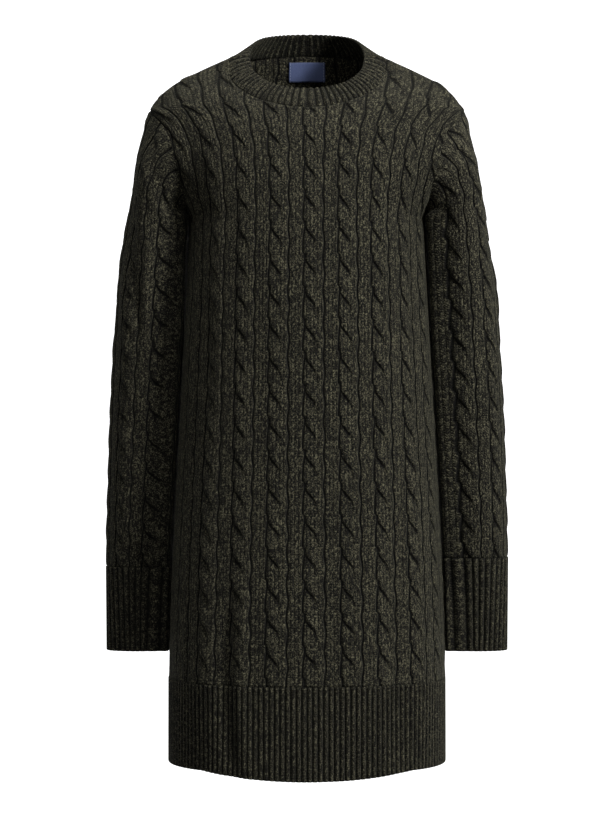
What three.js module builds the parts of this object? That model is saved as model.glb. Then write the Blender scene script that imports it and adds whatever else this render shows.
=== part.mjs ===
// Sweater dress: a cable-knit dress with long sleeves, kept in the hollow form of its wearer.
// Millimetres, +Z up, the front faces -Y and the wearer's left arm is on +X.
// The origin lies midway between the two points where a shoulder seam meets the neck rib.

import * as THREE from 'three';
import { mergeVertices } from 'three/addons/utils/BufferGeometryUtils.js';

// Knit wall
const SEAM_GAP = 0.3;
const SEAM_CLEARANCE = { outer: 0.4, inner: 0.9 };
const GROOVE_WALL = 2.4;
const CABLE_RISE = 3.6;
const PLAIN_RISE = 1.6;
const CABLE_VALLEY_RISE = 1.5;
const INSIDE_DEPTH = GROOVE_WALL + CABLE_RISE;

// Cables: one repeat is a cable and the plain band beside it
const CABLE_HALF_WIDTH = 0.29;
const STRAND_LINE = 0.13;
const CROSSING_SLANT = 0.72;
const BODY_CROSSING = 36.7;
const BODY_CROSSING_START = 9.7;
const FRONT_CABLE_SHIFT = 0.18;
const SLEEVE_CROSSING = 35.5;
const SLEEVE_REPEATS = 7;
const SLEEVE_CABLE_SHIFT = { left: 0.1, right: 0.2 };
const SIDE_REACH = 5.5;
const OUTER_REPEATS = 6;
const INNER_REPEATS = 5;
const LINE_CLEARANCE = 0.05;
// No point of a knit line lies closer to its end than this share of a crossing
const LINE_END_SHARE = 1 / 6;
// Below the top edges of a panel the relief fades to the plain band's height over this distance
const RELIEF_FADE = 30;
// Above this level each knit line has twice the points
const DENSE_FROM_Z = -195;
// Extra lines of the front that end close to the neck point, where the neck seam is steep
const NECK_LINES = [1.6, 1.74, 1.82, 1.87];

// Body levels and the armhole
const HEM_SEAM_Z = -725;
const UNDERARM_Z = -191;
const ARMHOLE_BEND_Z = -140;
const SHOULDER_Z = -65;
const NECK_POINT_Z = -2;
const ARMHOLE_MID_Z = (UNDERARM_Z + SHOULDER_Z) / 2;
const ARMHOLE_HALF_HEIGHT = (SHOULDER_Z - UNDERARM_Z) / 2;
const ARMHOLE_HALF_DEPTH = 65;
const ROUNDNESS = 2.35;
const NAPE_LIFT = 15;
const NAPE_LIFT_SPAN = 68;
// Near an armhole or a shoulder, the repeats give way to the edge by this power of their distance
const EDGE_POWER = 4;

// Neck
const NECK_HALF_WIDTH = 93;
const NECK_HALF_DEPTH = 88;
const RIM_HALF_WIDTH = 67;
const RIM_FRONT = 69;
const RIM_BACK = 70;
const NECK_RIBS = 78;
const NECK_RIB_WALL = 4.2;
const NECK_RIB_GROOVE = 1.8;
const NECK_BAND_CROWN = 1.5;
const NECK_BAND_START = 0.2;
const NECK_PLAIN_COLUMNS = 36;
// The front's neck seam lies no lower than this below the shoulder
const NECK_SEARCH_DEPTH = 20;

// Hem and cuffs
const HEM_Z = -831.5;
const HEM_SIDE_LIFT = 9;
const HEM_LIFT_HALF_WIDTH = 120;
const HEM_RIBS_PER_HALF = 77;
const HEM_PLAIN_COLUMNS = 24;
const RIB_WALL = 4.4;
const RIB_GROOVE = 2;
const SLEEVE_TOP_RING_Z = -215;
const SLEEVE_SEAM_Z = { left: -587, right: -598 };
const CUFF_END_Z = -697;
const CUFF_RIBS = 31;
const CUFF_PLAIN_COLUMNS = 16;

// Neck label
const LABEL_HALF_WIDTH = 22.5;
const LABEL_TOP = 5;
const LABEL_HEIGHT = 17;
const LABEL_THICKNESS = 0.8;
const LABEL_OFFSET = 1;
const LABEL_COLUMNS = 8;
const LABEL_LEVELS = 3;

// Colours
const OLIVE = 0x34352a;
const OLIVE_RIB = 0x30312a;
const NAVY = 0x27345c;

// Half-width, front depth and back depth of the body at each level
const BODY = rows('z half front back', [
  [-840, 162, 130, 127],
  [-725, 162, 130, 127],
  [-636, 160, 129, 127],
  [-519, 154.5, 127, 126],
  [-402, 148, 126, 124],
  [-285, 142, 128, 124],
  [-230, 140, 127, 123],
  [-192, 138.5, 124, 122],
  [-171, 141, 121, 121],
  [-150, 144, 118, 120],
  [-127, 149, 113, 119],
  [-98, 157, 105, 116],
  [-85, 166, 98, 115],
  [-72, 179, 90, 113],
  [-65, 184, 85, 112],
  [-61, 182, 81, 110],
  [-47, 173, 64, 106],
  [-33, 156.5, 43, 101],
  [-16, 124, 20, 94],
  [-2, 93, 6, 88],
]);

// How many repeats lie between the middle and the edge of each panel
const REACH = rows('z front back', [
  [-840, 5.5, 5.5],
  [-191, 5.5, 5.5],
  [-190.9, 5.385, 5.39],
  [-190.5, 5.243, 5.25],
  [-190, 5.14, 5.15],
  [-188, 4.945, 4.965],
  [-185, 4.775, 4.82],
  [-180, 4.59, 4.67],
  [-171, 4.39, 4.56],
  [-160, 4.25, 4.515],
  [-150, 4.18, 4.505],
  [-140, 4.15, 4.5],
  [-65, 4.15, 4.5],
  [-47, 3.75, 4.05],
  [-33, 3.25, 3.65],
  [-16, 2.55, 3.2],
  [-2, 1.9, 2.9],
]);

// Sleeve rings below the armhole: centre and half sizes
const SLEEVE = rows('z x y halfWidth halfDepth', [
  [-697, 199.6, 25, 36.9, 24],
  [-640, 199.2, 25, 37.8, 31],
  [-598, 198.4, 25, 38.9, 38],
  [-566, 197.7, 24, 39.9, 43],
  [-496, 194.6, 22, 40.8, 48],
  [-402, 190.4, 18, 41.6, 52],
  [-328, 186, 13, 41.5, 55],
  [-285, 183.6, 10, 40.4, 57],
  [-215, 178, 4, 36.5, 60],
]);

// Height of the neck rib's free edge at each depth
const RIM_HEIGHT = rows('y z', [
  [-69, -45],
  [-43, -27],
  [-24, -15],
  [0, 2],
  [25, 17],
  [50, 29],
  [70, 36],
]);

// Width of one repeat at each level
const REPEAT_WIDTH = rows('z front back', [
  [-840, 43.1, 42.7],
  [-725, 43.1, 42.7],
  [-600, 42.3, 42.05],
  [-402, 40.4, 40.1],
  [-285, 39.8, 39.2],
  [-230, 39.3, 38.7],
  [-192, 38.7, 38.4],
  [-140, 39, 37.4],
  [-98, 41.5, 39.5],
  [-65, 46, 46],
  [-47, 47.5, 49],
  [-33, 48.5, 50.5],
  [-16, 49, 50.6],
  [-2, 49.5, 50.5],
]);

// Levels of the plain inside, from the hem seam up
const INSIDE_LEVELS = [-665, -600, -535, -470, -405, -345, -290, -240, -205];
const INSIDE_UPPER_LEVELS = [-172, -140, -112, -90, -75, -55, -42, -30, -18];
const ARMHOLE_LEVELS = [-126, -112, -98, -86, -76, -69];
const INSIDE_SLEEVE_STEP = 56;
const SLEEVE_START = 9;
const INSIDE_MARGIN = 8;

// Wall directions at the seams, as shares of outward, front-to-back and up
const ARMHOLE_WALL = { out: 0.9, across: 0.95, up: 0.45 };
const NECK_WALL_FRONT = { out: 0.35, across: -0.8, up: 0.6, sideUp: 0.34 };
const NECK_WALL_BACK = { out: 0.35, across: 0.9, up: 0.44, sideUp: 0.5 };
// How the sleeve cap leaves the armhole: outward at its top, and more so at its front and back
const CAP_LEAVE = { out: 0.3, sideOut: 0.75, across: 0.2, sideUp: 0.7 };

// Steps for measuring a surface's direction, in repeats, millimetres and shares
const REPEAT_STEP = 0.02;
const LEVEL_STEP = 0.5;
const PLACE_STEP = 0.01;
const RING_STEP = 10;
// Lines and points closer than these are the same one
const SAME_LINE = 1e-6;
const SAME_POINT = 0.1;

function rows(names, values) {
  const keys = names.split(' ');
  return values.map((row) => Object.fromEntries(keys.map((key, i) => [key, row[i]])));
}

// Smooth lookup in a table, along its first column, without overshoot
function lookup(table, column, at) {
  const along = Object.keys(table[0])[0];
  const rising = table[0][along] < table[table.length - 1][along];
  const list = rising ? table : [...table].reverse();
  const last = list.length - 1;
  if (at <= list[0][along]) return list[0][column];
  if (at >= list[last][along]) return list[last][column];
  const step = (i) => list[i + 1][along] - list[i][along];
  const slope = (i) => (list[i + 1][column] - list[i][column]) / step(i);
  const tangent = (i) => {
    if (i === 0) return slope(0);
    if (i === last) return slope(last - 1);
    const before = slope(i - 1);
    const after = slope(i);
    return before * after <= 0 ? 0 : (2 * before * after) / (before + after);
  };
  let i = 0;
  while (at > list[i + 1][along]) i += 1;
  const span = step(i);
  const t = (at - list[i][along]) / span;
  const start = (1 + 2 * t) * (1 - t) ** 2 * list[i][column] + t * (1 - t) ** 2 * span * tangent(i);
  const end = t * t * (3 - 2 * t) * list[i + 1][column] + t * t * (t - 1) * span * tangent(i + 1);
  return start + end;
}

function bisect(low, high, isBelow) {
  let [a, b] = [low, high];
  for (let i = 0; i < 40; i += 1) {
    const middle = (a + b) / 2;
    if (isBelow(middle)) a = middle;
    else b = middle;
  }
  return (a + b) / 2;
}

const vector = (x, y, z) => new THREE.Vector3(x, y, z);
const moved = (point, direction, distance) => point.clone().addScaledVector(direction, distance);

// Body surface, at the crowns of the cables. In every piece u counts repeats to the right and h goes
// up, both as seen from outside the dress.

function armholeDepth(z) {
  const share = (z - ARMHOLE_MID_Z) / ARMHOLE_HALF_HEIGHT;
  return Math.abs(share) >= 1 ? 0 : ARMHOLE_HALF_DEPTH * Math.sqrt(1 - share * share);
}

function sectionDepth(side, x, z) {
  const depth = lookup(BODY, side, z);
  const share = Math.min(Math.abs(x) / lookup(BODY, 'half', z), 1) ** ROUNDNESS;
  const edge = (armholeDepth(z) / depth) ** ROUNDNESS;
  return depth * (1 - share * (1 - edge)) ** (1 / ROUNDNESS);
}

const SECTION_STEPS = 64;
const sections = new Map();

function section(side, z) {
  const key = `${side} ${z.toFixed(4)}`;
  if (!sections.has(key)) {
    const half = lookup(BODY, 'half', z);
    const points = [];
    let length = 0;
    for (let i = 0; i <= SECTION_STEPS; i += 1) {
      const x = half * Math.sin((i / SECTION_STEPS) * (Math.PI / 2));
      const y = sectionDepth(side, x, z);
      if (i > 0) length += Math.hypot(x - points[i - 1].x, y - points[i - 1].y);
      points.push({ x, y, length });
    }
    sections.set(key, points);
  }
  return sections.get(key);
}

const halfLength = (side, z) => section(side, z)[SECTION_STEPS].length;

function bodyPoint(side, u, z) {
  const points = section(side, z);
  const reach = lookup(REACH, side, z);
  const even = (lookup(REPEAT_WIDTH, side, z) * reach) / halfLength(side, z);
  const near = Math.min(Math.abs(u) / reach, 1);
  const share = near * (even + (1 - even) * near ** EDGE_POWER);
  const length = share * halfLength(side, z);
  let i = 1;
  while (i < SECTION_STEPS && points[i].length < length) i += 1;
  const [a, b] = [points[i - 1], points[i]];
  const t = (length - a.length) / (b.length - a.length);
  const x = a.x + (b.x - a.x) * t;
  const y = a.y + (b.y - a.y) * t;
  if (side === 'front') return vector(Math.sign(u) * x, -y, z);
  const fade = Math.min(Math.max((z - NECK_POINT_Z) / NAPE_LIFT_SPAN + 1, 0), 1);
  const lift = NAPE_LIFT * fade * fade * (y / points[0].y) ** 2;
  return vector(-Math.sign(u) * x, y, z + lift);
}

function bodyNormal(side, u, z) {
  const across = u > 0 ? -REPEAT_STEP : REPEAT_STEP;
  const isTableEdge = Math.abs(z - SHOULDER_Z) < 1 || z < HEM_SEAM_Z + 1;
  const up = isTableEdge ? LEVEL_STEP : -LEVEL_STEP;
  const here = bodyPoint(side, u, z);
  const right = bodyPoint(side, u + across, z).sub(here).multiplyScalar(Math.sign(across));
  const above = bodyPoint(side, u, z + up).sub(here).multiplyScalar(Math.sign(up));
  return right.cross(above).normalize();
}

// Where the line of one u ends at the top: at the armhole, the shoulder seam or the neck
function lineTop(side, u) {
  const at = Math.abs(u);
  const [neckReach, armReach] = [lookup(REACH, side, NECK_POINT_Z), lookup(REACH, side, SHOULDER_Z)];
  if (at >= SIDE_REACH) return UNDERARM_Z;
  if (at > armReach) return bisect(UNDERARM_Z, ARMHOLE_BEND_Z, (z) => lookup(REACH, side, z) > at);
  if (at >= neckReach) return bisect(SHOULDER_Z, NECK_POINT_Z, (z) => lookup(REACH, side, z) > at);
  if (side === 'back') return NECK_POINT_Z;
  return bisect(SHOULDER_Z - NECK_SEARCH_DEPTH, NECK_POINT_Z, (z) => {
    const point = bodyPoint(side, u, z);
    const across = Math.abs(point.x) / NECK_HALF_WIDTH;
    return across ** ROUNDNESS + (Math.abs(point.y) / NECK_HALF_DEPTH) ** ROUNDNESS > 1;
  });
}

// Angle round the armhole from its top, positive at the front
function armholeAlong(point) {
  return Math.atan2(-point.y / ARMHOLE_HALF_DEPTH, (point.z - ARMHOLE_MID_Z) / ARMHOLE_HALF_HEIGHT);
}

// Share of the way round the neck from the left neck point, by the back
function neckTurn(point) {
  const x = Math.sign(point.x) * (Math.abs(point.x) / NECK_HALF_WIDTH) ** (ROUNDNESS / 2);
  const y = Math.sign(point.y) * (Math.abs(point.y) / NECK_HALF_DEPTH) ** (ROUNDNESS / 2);
  return (Math.atan2(x, -y) / (2 * Math.PI) + 0.75) % 1;
}

// A seam's wall direction is shared by the two pieces that meet there
function armholeNormal(point) {
  const along = Math.abs(armholeAlong(point));
  const high = (1 + Math.cos(along)) / 2;
  const x = ARMHOLE_WALL.out * high * Math.sign(point.x);
  const y = ARMHOLE_WALL.across * Math.sin(along) * Math.sign(point.y);
  return vector(x, y, ARMHOLE_WALL.up * high - (1 - high) ** 2).normalize();
}

function neckNormal(point) {
  const side = Math.min(Math.abs(point.x) / NECK_HALF_WIDTH, 1);
  const middle = Math.sqrt(1 - side * side);
  const wall = point.y < 0 ? NECK_WALL_FRONT : NECK_WALL_BACK;
  const x = wall.out * Math.sign(point.x) * side;
  return vector(x, wall.across * middle, wall.up + wall.sideUp * side).normalize();
}

// How far a crossing has come down at a place in the repeat, as a share of one crossing
function knitSlant(u) {
  const across = u - Math.round(u);
  const inside = Math.min(Math.max(across, -CABLE_HALF_WIDTH), CABLE_HALF_WIDTH);
  return (CROSSING_SLANT * (inside + CABLE_HALF_WIDTH)) / (2 * CABLE_HALF_WIDTH);
}

// Height of the knit over its grooves, at a place in the repeat and a count of crossings
function knitRise(u, crossing) {
  const across = u - Math.round(u);
  if (Math.abs(across) < CABLE_HALF_WIDTH) {
    const strand = Math.abs(Math.sin(Math.PI * (crossing + knitSlant(u))));
    const round = Math.sqrt(1 - (across / CABLE_HALF_WIDTH) ** 2);
    return round * (CABLE_VALLEY_RISE + (CABLE_RISE - CABLE_VALLEY_RISE) * strand);
  }
  const plain = (Math.abs(across) - CABLE_HALF_WIDTH) / (0.5 - CABLE_HALF_WIDTH);
  return PLAIN_RISE * Math.min(1, plain * 2);
}

// The lines that draw one repeat, with how many points each has in one crossing
const REPEAT_LINES = rows('u points', [
  [-CABLE_HALF_WIDTH, 1],
  [-STRAND_LINE, 2],
  [STRAND_LINE, 2],
  [CABLE_HALF_WIDTH, 1],
  [0.5, 1],
]);

// Shift of a line's heights while the strip beside it is filled, so that strands run across a cable
function strandShift(u, middle, period) {
  return Math.abs(middle - Math.round(middle)) < CABLE_HALF_WIDTH ? knitSlant(u) * period : 0;
}

// Points of one knit line between two ends: grooves and crowns of its strand, along the slant
function knitLine(u, points, from, to, start, period, denseFrom = Infinity) {
  const across = u - Math.round(u);
  const isGrooveLine = Math.abs(Math.abs(across) - CABLE_HALF_WIDTH) < SAME_LINE;
  const slant = knitSlant(u);
  const list = [];
  const margin = period * LINE_END_SHARE;
  const first = Math.floor((from - start) / period) - 1;
  const count = Math.ceil((to - from) / period) + 3;
  for (let i = 0; i < count * points * 2; i += 1) {
    const order = first + i / points / 2;
    const h = start + (order - slant) * period;
    const isWanted = i % 2 === 0 || (points === 1 && h > denseFrom);
    const rise = isGrooveLine ? 0 : knitRise(u, order - slant);
    if (isWanted && h > from + margin && h < to - margin) list.push({ h, rise });
  }
  return list;
}

// Triangles of a piece, kept as corners in their order
class Shell {
  constructor() {
    this.corners = [];
  }

  triangle(a, b, c) {
    if (a.equals(b) || b.equals(c) || c.equals(a)) return;
    this.corners.push(a, b, c);
  }

  // Fill between two lists of vertices that run the same way. Keys decide which one goes on first.
  fill(left, right, reversed = false) {
    let [i, j] = [0, 0];
    while (i < left.length - 1 || j < right.length - 1) {
      const leftFirst = j === right.length - 1
        || (i < left.length - 1 && left[i + 1].key <= right[j + 1].key);
      const third = leftFirst ? left[i + 1].at : right[j + 1].at;
      if (reversed) this.triangle(right[j].at, left[i].at, third);
      else this.triangle(left[i].at, right[j].at, third);
      if (leftFirst) i += 1;
      else j += 1;
    }
  }

  // Close the wall along an edge, where the outside has it on its left
  rim(outer, inner) {
    this.fill(byLength(outer), byLength(inner));
  }

  mesh(name, colour, roughness = 0.95) {
    const geometry = new THREE.BufferGeometry();
    const positions = this.corners.flatMap((corner) => [corner.x, corner.y, corner.z]);
    geometry.setAttribute('position', new THREE.Float32BufferAttribute(positions, 3));
    const merged = mergeVertices(geometry, 1e-4);
    merged.computeVertexNormals();
    const material = new THREE.MeshStandardMaterial({ color: colour, roughness, metalness: 0 });
    const piece = new THREE.Mesh(merged, material);
    piece.name = name;
    return piece;
  }
}

function byLength(list) {
  let length = 0;
  const lengths = list.map((vertex, i) => {
    if (i > 0) length += vertex.at.distanceTo(list[i - 1].at);
    return length;
  });
  return list.map((vertex, i) => ({ at: vertex.at, key: lengths[i] / length }));
}

// Front and back panels

function panelVertex(side, u, z, depth, edge) {
  const surface = bodyPoint(side, u, z);
  let normal;
  if (edge === 'armhole') normal = armholeNormal(surface);
  else if (edge === 'neck') normal = neckNormal(surface);
  else normal = bodyNormal(side, u, z);
  const at = moved(surface, normal, -depth);
  if (edge === 'bottom') at.z = z;
  if (side === 'front') at.y = Math.min(at.y, -SEAM_GAP / 2);
  else at.y = Math.max(at.y, SEAM_GAP / 2);
  return { at, surface, u, z };
}

// One face of a panel: strips between its lines, and its edges for the rims
function panelFace(shell, side, lines, depthAt, levelsOf, shiftOf, reversed) {
  const armReach = lookup(REACH, side, SHOULDER_Z);
  const neckReach = lookup(REACH, side, NECK_POINT_Z);
  const bottom = HEM_SEAM_Z + SEAM_GAP / 2;
  const edgeDepth = depthAt(PLAIN_RISE);
  const built = lines.map(({ u, points }) => {
    const at = Math.abs(u);
    const isSide = at >= SIDE_REACH;
    const isArm = Math.abs(at - armReach) < SAME_LINE;
    const top = isArm ? ARMHOLE_BEND_Z : lineTop(side, u);
    const list = [panelVertex(side, u, bottom, edgeDepth, 'bottom')];
    for (const { h, rise } of levelsOf(u, points, bottom, top)) {
      const relief = Math.min(1, (top - h) / RELIEF_FADE);
      const depth = isSide ? edgeDepth : depthAt(PLAIN_RISE + (rise - PLAIN_RISE) * relief);
      list.push(panelVertex(side, u, h, depth, isSide ? 'side' : 'inside'));
    }
    let edge = 'shoulder';
    if (at > armReach - SAME_LINE) edge = 'armhole';
    if (at <= neckReach + SAME_LINE) edge = 'neck';
    list.push(panelVertex(side, u, top, edgeDepth, edge));
    const upper = !isArm ? [] : [...ARMHOLE_LEVELS, SHOULDER_Z].map((z) => (
      panelVertex(side, u, z, edgeDepth, 'armhole')));
    return { u, list, whole: [...list, ...upper], upper: [list[list.length - 1], ...upper] };
  });
  for (let i = 0; i < built.length - 1; i += 1) {
    const [left, right] = [built[i], built[i + 1]];
    const middle = (left.u + right.u) / 2;
    const part = Math.abs(middle) > armReach ? 'list' : 'whole';
    const keyed = (line) => line[part].map(({ at, z }) => ({ at, key: z + shiftOf(line.u, middle) }));
    shell.fill(keyed(left), keyed(right), reversed);
  }
  const pick = (from, to) => built.filter(({ u }) => u >= from - SAME_LINE && u <= to + SAME_LINE);
  const tops = (from, to) => pick(from, to).map(({ whole }) => whole[whole.length - 1]);
  const bends = (from, to) => pick(from, to).map(({ list }) => list[list.length - 1]);
  const rightArm = built.find(({ u }) => Math.abs(u - armReach) < SAME_LINE);
  const leftArm = built.find(({ u }) => Math.abs(u + armReach) < SAME_LINE);
  return {
    bottom: built.map(({ list }) => list[0]),
    rightSide: built[built.length - 1].list,
    rightArmhole: [...bends(armReach, SIDE_REACH).reverse(), ...rightArm.upper.slice(1)],
    rightShoulder: tops(neckReach, armReach).reverse(),
    neck: tops(-neckReach, neckReach).reverse(),
    leftShoulder: tops(-armReach, -neckReach).reverse(),
    leftArmhole: [...leftArm.upper].reverse().concat(bends(-SIDE_REACH, -armReach).reverse().slice(1)),
    leftSide: [...built[0].list].reverse(),
  };
}

function withSpecialLines(lines, side) {
  const special = [SIDE_REACH, lookup(REACH, side, SHOULDER_Z), lookup(REACH, side, NECK_POINT_Z)];
  const both = special.flatMap((u) => [{ u, points: 2 }, { u: -u, points: 2 }]);
  const isExtra = ({ u }) => NECK_LINES.includes(Math.abs(u));
  const kept = [...both, ...lines.filter(isExtra)];
  const clear = lines.filter((line) => !isExtra(line) && Math.abs(line.u) < SIDE_REACH
    && kept.every((other) => Math.abs(other.u - line.u) > LINE_CLEARANCE));
  return [...clear, ...kept].sort((a, b) => a.u - b.u);
}

function panel(side) {
  const shell = new Shell();
  const shift = side === 'front' ? FRONT_CABLE_SHIFT : 0;
  const outerLines = [];
  for (let repeat = -OUTER_REPEATS; repeat <= OUTER_REPEATS; repeat += 1) {
    for (const line of REPEAT_LINES) outerLines.push({ u: repeat + shift + line.u, points: line.points });
  }
  const innerLines = [];
  for (let u = -INNER_REPEATS; u <= INNER_REPEATS; u += 0.5) innerLines.push({ u, points: 1 });
  if (side === 'front') {
    const neckLines = NECK_LINES.flatMap((u) => [{ u, points: 1 }, { u: -u, points: 1 }]);
    outerLines.push(...neckLines);
    innerLines.push(...neckLines.filter((_, i) => i > 1));
  }
  const start = HEM_SEAM_Z + BODY_CROSSING_START;
  const outer = panelFace(shell, side, withSpecialLines(outerLines, side),
    (rise) => CABLE_RISE - rise,
    (u, points, from, to) => knitLine(u - shift, points, from, to, start, BODY_CROSSING, DENSE_FROM_Z),
    (u, middle) => strandShift(u - shift, middle - shift, BODY_CROSSING), false);
  const levels = [...INSIDE_LEVELS, ...INSIDE_UPPER_LEVELS];
  const inner = panelFace(shell, side, withSpecialLines(innerLines, side),
    () => INSIDE_DEPTH,
    (u, points, from, to) => levels.filter((z) => z > from + INSIDE_MARGIN && z < to - INSIDE_MARGIN)
      .map((z) => ({ h: z, rise: 0 })),
    () => 0, true);
  for (const edge of Object.keys(outer)) {
    if (edge === 'neck') {
      const keyed = (list) => list.map(({ at, surface }) => ({ at, key: neckTurn(surface) }))
        .map(({ at, key }) => ({ at, key: side === 'front' && key < 0.25 ? key + 1 : key })).reverse();
      shell.fill(keyed(outer.neck), keyed(inner.neck), true);
    } else if (edge.endsWith('Armhole')) {
      const keyed = (list) => list.map(({ at, surface }) => (
        { at, key: -Math.sign(surface.x) * armholeAlong(surface) }));
      shell.fill(keyed(outer[edge]), keyed(inner[edge]));
    } else {
      shell.rim(outer[edge], inner[edge]);
    }
  }
  return { shell, outer, inner };
}

// Sleeves: the cap runs from the armhole to a first level ring, and the tube from there to the cuff

function armholePoint(along) {
  const z = ARMHOLE_MID_Z + ARMHOLE_HALF_HEIGHT * Math.cos(along);
  return vector(lookup(BODY, 'half', z), -ARMHOLE_HALF_DEPTH * Math.sin(along), z);
}

function ringPoint(angle, z) {
  const ring = Object.fromEntries(['x', 'y', 'halfWidth', 'halfDepth']
    .map((name) => [name, lookup(SLEEVE, name, z)]));
  const evening = (ring.halfDepth - ring.halfWidth) / (ring.halfDepth + ring.halfWidth) / 2;
  const even = angle - evening * Math.sin(2 * angle);
  return vector(ring.x + ring.halfWidth * Math.cos(even), ring.y - ring.halfDepth * Math.sin(even), z);
}

function capPoint(angle, share) {
  const [from, to] = [armholePoint(angle), ringPoint(angle, SLEEVE_TOP_RING_Z)];
  const length = from.distanceTo(to);
  const side = Math.sin(angle) ** 2;
  const leave = vector(
    CAP_LEAVE.out + CAP_LEAVE.sideOut * side,
    -CAP_LEAVE.across * Math.sin(angle),
    -1 + CAP_LEAVE.sideUp * side,
  ).normalize();
  const arrive = ringPoint(angle, SLEEVE_TOP_RING_Z - RING_STEP).sub(to).normalize();
  const t = share;
  return vector(0, 0, 0)
    .addScaledVector(from, (1 + 2 * t) * (1 - t) ** 2)
    .addScaledVector(leave, t * (1 - t) ** 2 * length)
    .addScaledVector(to, t * t * (3 - 2 * t))
    .addScaledVector(arrive, t * t * (t - 1) * length);
}

const SLEEVE_STEPS = 48;

class SleeveForm {
  constructor(hand) {
    this.hand = hand;
    this.sign = hand === 'left' ? 1 : -1;
    this.seam = SLEEVE_SEAM_Z[hand];
    this.lines = new Map();
  }

  angle(u) {
    return (-this.sign * u * 2 * Math.PI) / SLEEVE_REPEATS;
  }

  // Place 0 is the cuff seam, 1 the first ring and 2 the armhole
  point(u, place) {
    const angle = this.angle(u);
    const point = place <= 1
      ? ringPoint(angle, this.seam + place * (SLEEVE_TOP_RING_Z - this.seam))
      : capPoint(angle, 2 - place);
    point.x *= this.sign;
    return point;
  }

  normal(u, place) {
    const up = place > 1 ? -PLACE_STEP : PLACE_STEP;
    const here = this.point(u, place);
    const right = this.point(u + PLACE_STEP, place).sub(this.point(u - PLACE_STEP, place));
    const above = this.point(u, place + up).sub(here).multiplyScalar(Math.sign(up));
    return right.cross(above).normalize();
  }

  lengths(u) {
    const key = u.toFixed(6);
    if (!this.lines.has(key)) {
      const list = [{ place: 0, length: 0 }];
      let before = this.point(u, 0);
      for (let i = 1; i <= SLEEVE_STEPS; i += 1) {
        const here = this.point(u, (2 * i) / SLEEVE_STEPS);
        list.push({ place: (2 * i) / SLEEVE_STEPS, length: list[i - 1].length + here.distanceTo(before) });
        before = here;
      }
      this.lines.set(key, list);
    }
    return this.lines.get(key);
  }

  total(u) {
    return this.lengths(u)[SLEEVE_STEPS].length;
  }

  vertex(u, h, depth, edge) {
    const list = this.lengths(u);
    let i = 1;
    while (i < SLEEVE_STEPS && list[i].length < h) i += 1;
    const share = (h - list[i - 1].length) / (list[i].length - list[i - 1].length);
    const place = list[i - 1].place + share * (list[i].place - list[i - 1].place);
    const at = moved(this.point(u, place), this.normal(u, place), -depth);
    if (edge === 'bottom') at.z = this.seam + SEAM_GAP / 2;
    return { at, h };
  }
}

// The end of a tube at a seam: the panels' own edge points, moved clear of them towards a place
function seamRing(edges, depth, clearance, normalAt, towards, turnAt) {
  const list = edges.flat().filter(({ surface }, i, all) => (
    i === 0 || surface.distanceTo(all[i - 1].surface) > SAME_POINT));
  if (list[0].surface.distanceTo(list[list.length - 1].surface) < SAME_POINT) list.pop();
  return list.map(({ surface }, i) => {
    const before = list[(i + list.length - 1) % list.length].surface;
    const after = list[(i + 1) % list.length].surface;
    const normal = normalAt(surface);
    const away = after.clone().sub(before).cross(normal).normalize();
    const outward = away.dot(towards) > 0 ? 1 : -1;
    return { at: moved(moved(surface, normal, -depth), away, outward * clearance), key: turnAt(surface) };
  }).sort((a, b) => a.key - b.key);
}

function closeRing(list, turn) {
  return [...list, { at: list[0].at, key: list[0].key + turn }];
}

function armholeTurn(form, surface) {
  const turn = (-form.sign * armholeAlong(surface) * SLEEVE_REPEATS) / (2 * Math.PI);
  return ((turn % SLEEVE_REPEATS) + SLEEVE_REPEATS) % SLEEVE_REPEATS;
}

// One face of a sleeve: strips round the tube, then the strip that reaches the armhole
function sleeveFace(shell, form, lines, listOf, shiftOf, ring, edgeDepth, reversed) {
  const built = lines.map((line) => {
    const top = form.total(line.u) - SLEEVE_START;
    const first = form.vertex(line.u, 0, edgeDepth, 'bottom');
    const last = form.vertex(line.u, top, edgeDepth, 'top');
    return { u: line.u, list: [first, ...listOf(line, top), last] };
  });
  built.forEach((left, i) => {
    const right = built[(i + 1) % built.length];
    const turn = right.u < left.u ? SLEEVE_REPEATS : 0;
    const middle = (left.u + right.u + turn) / 2;
    const keyed = (line) => line.list.map(({ at, h }) => ({ at, key: h + shiftOf(line.u, middle) }));
    shell.fill(keyed(left), keyed(right), reversed);
  });
  const tops = built.map(({ u, list }) => ({ at: list[list.length - 1].at, key: u }));
  const whole = (list) => closeRing(list, SLEEVE_REPEATS);
  shell.fill(whole(ring), whole(tops), reversed);
  return { bottom: whole(built.map(({ u, list }) => ({ at: list[0].at, key: u }))), top: whole(ring) };
}

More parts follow.
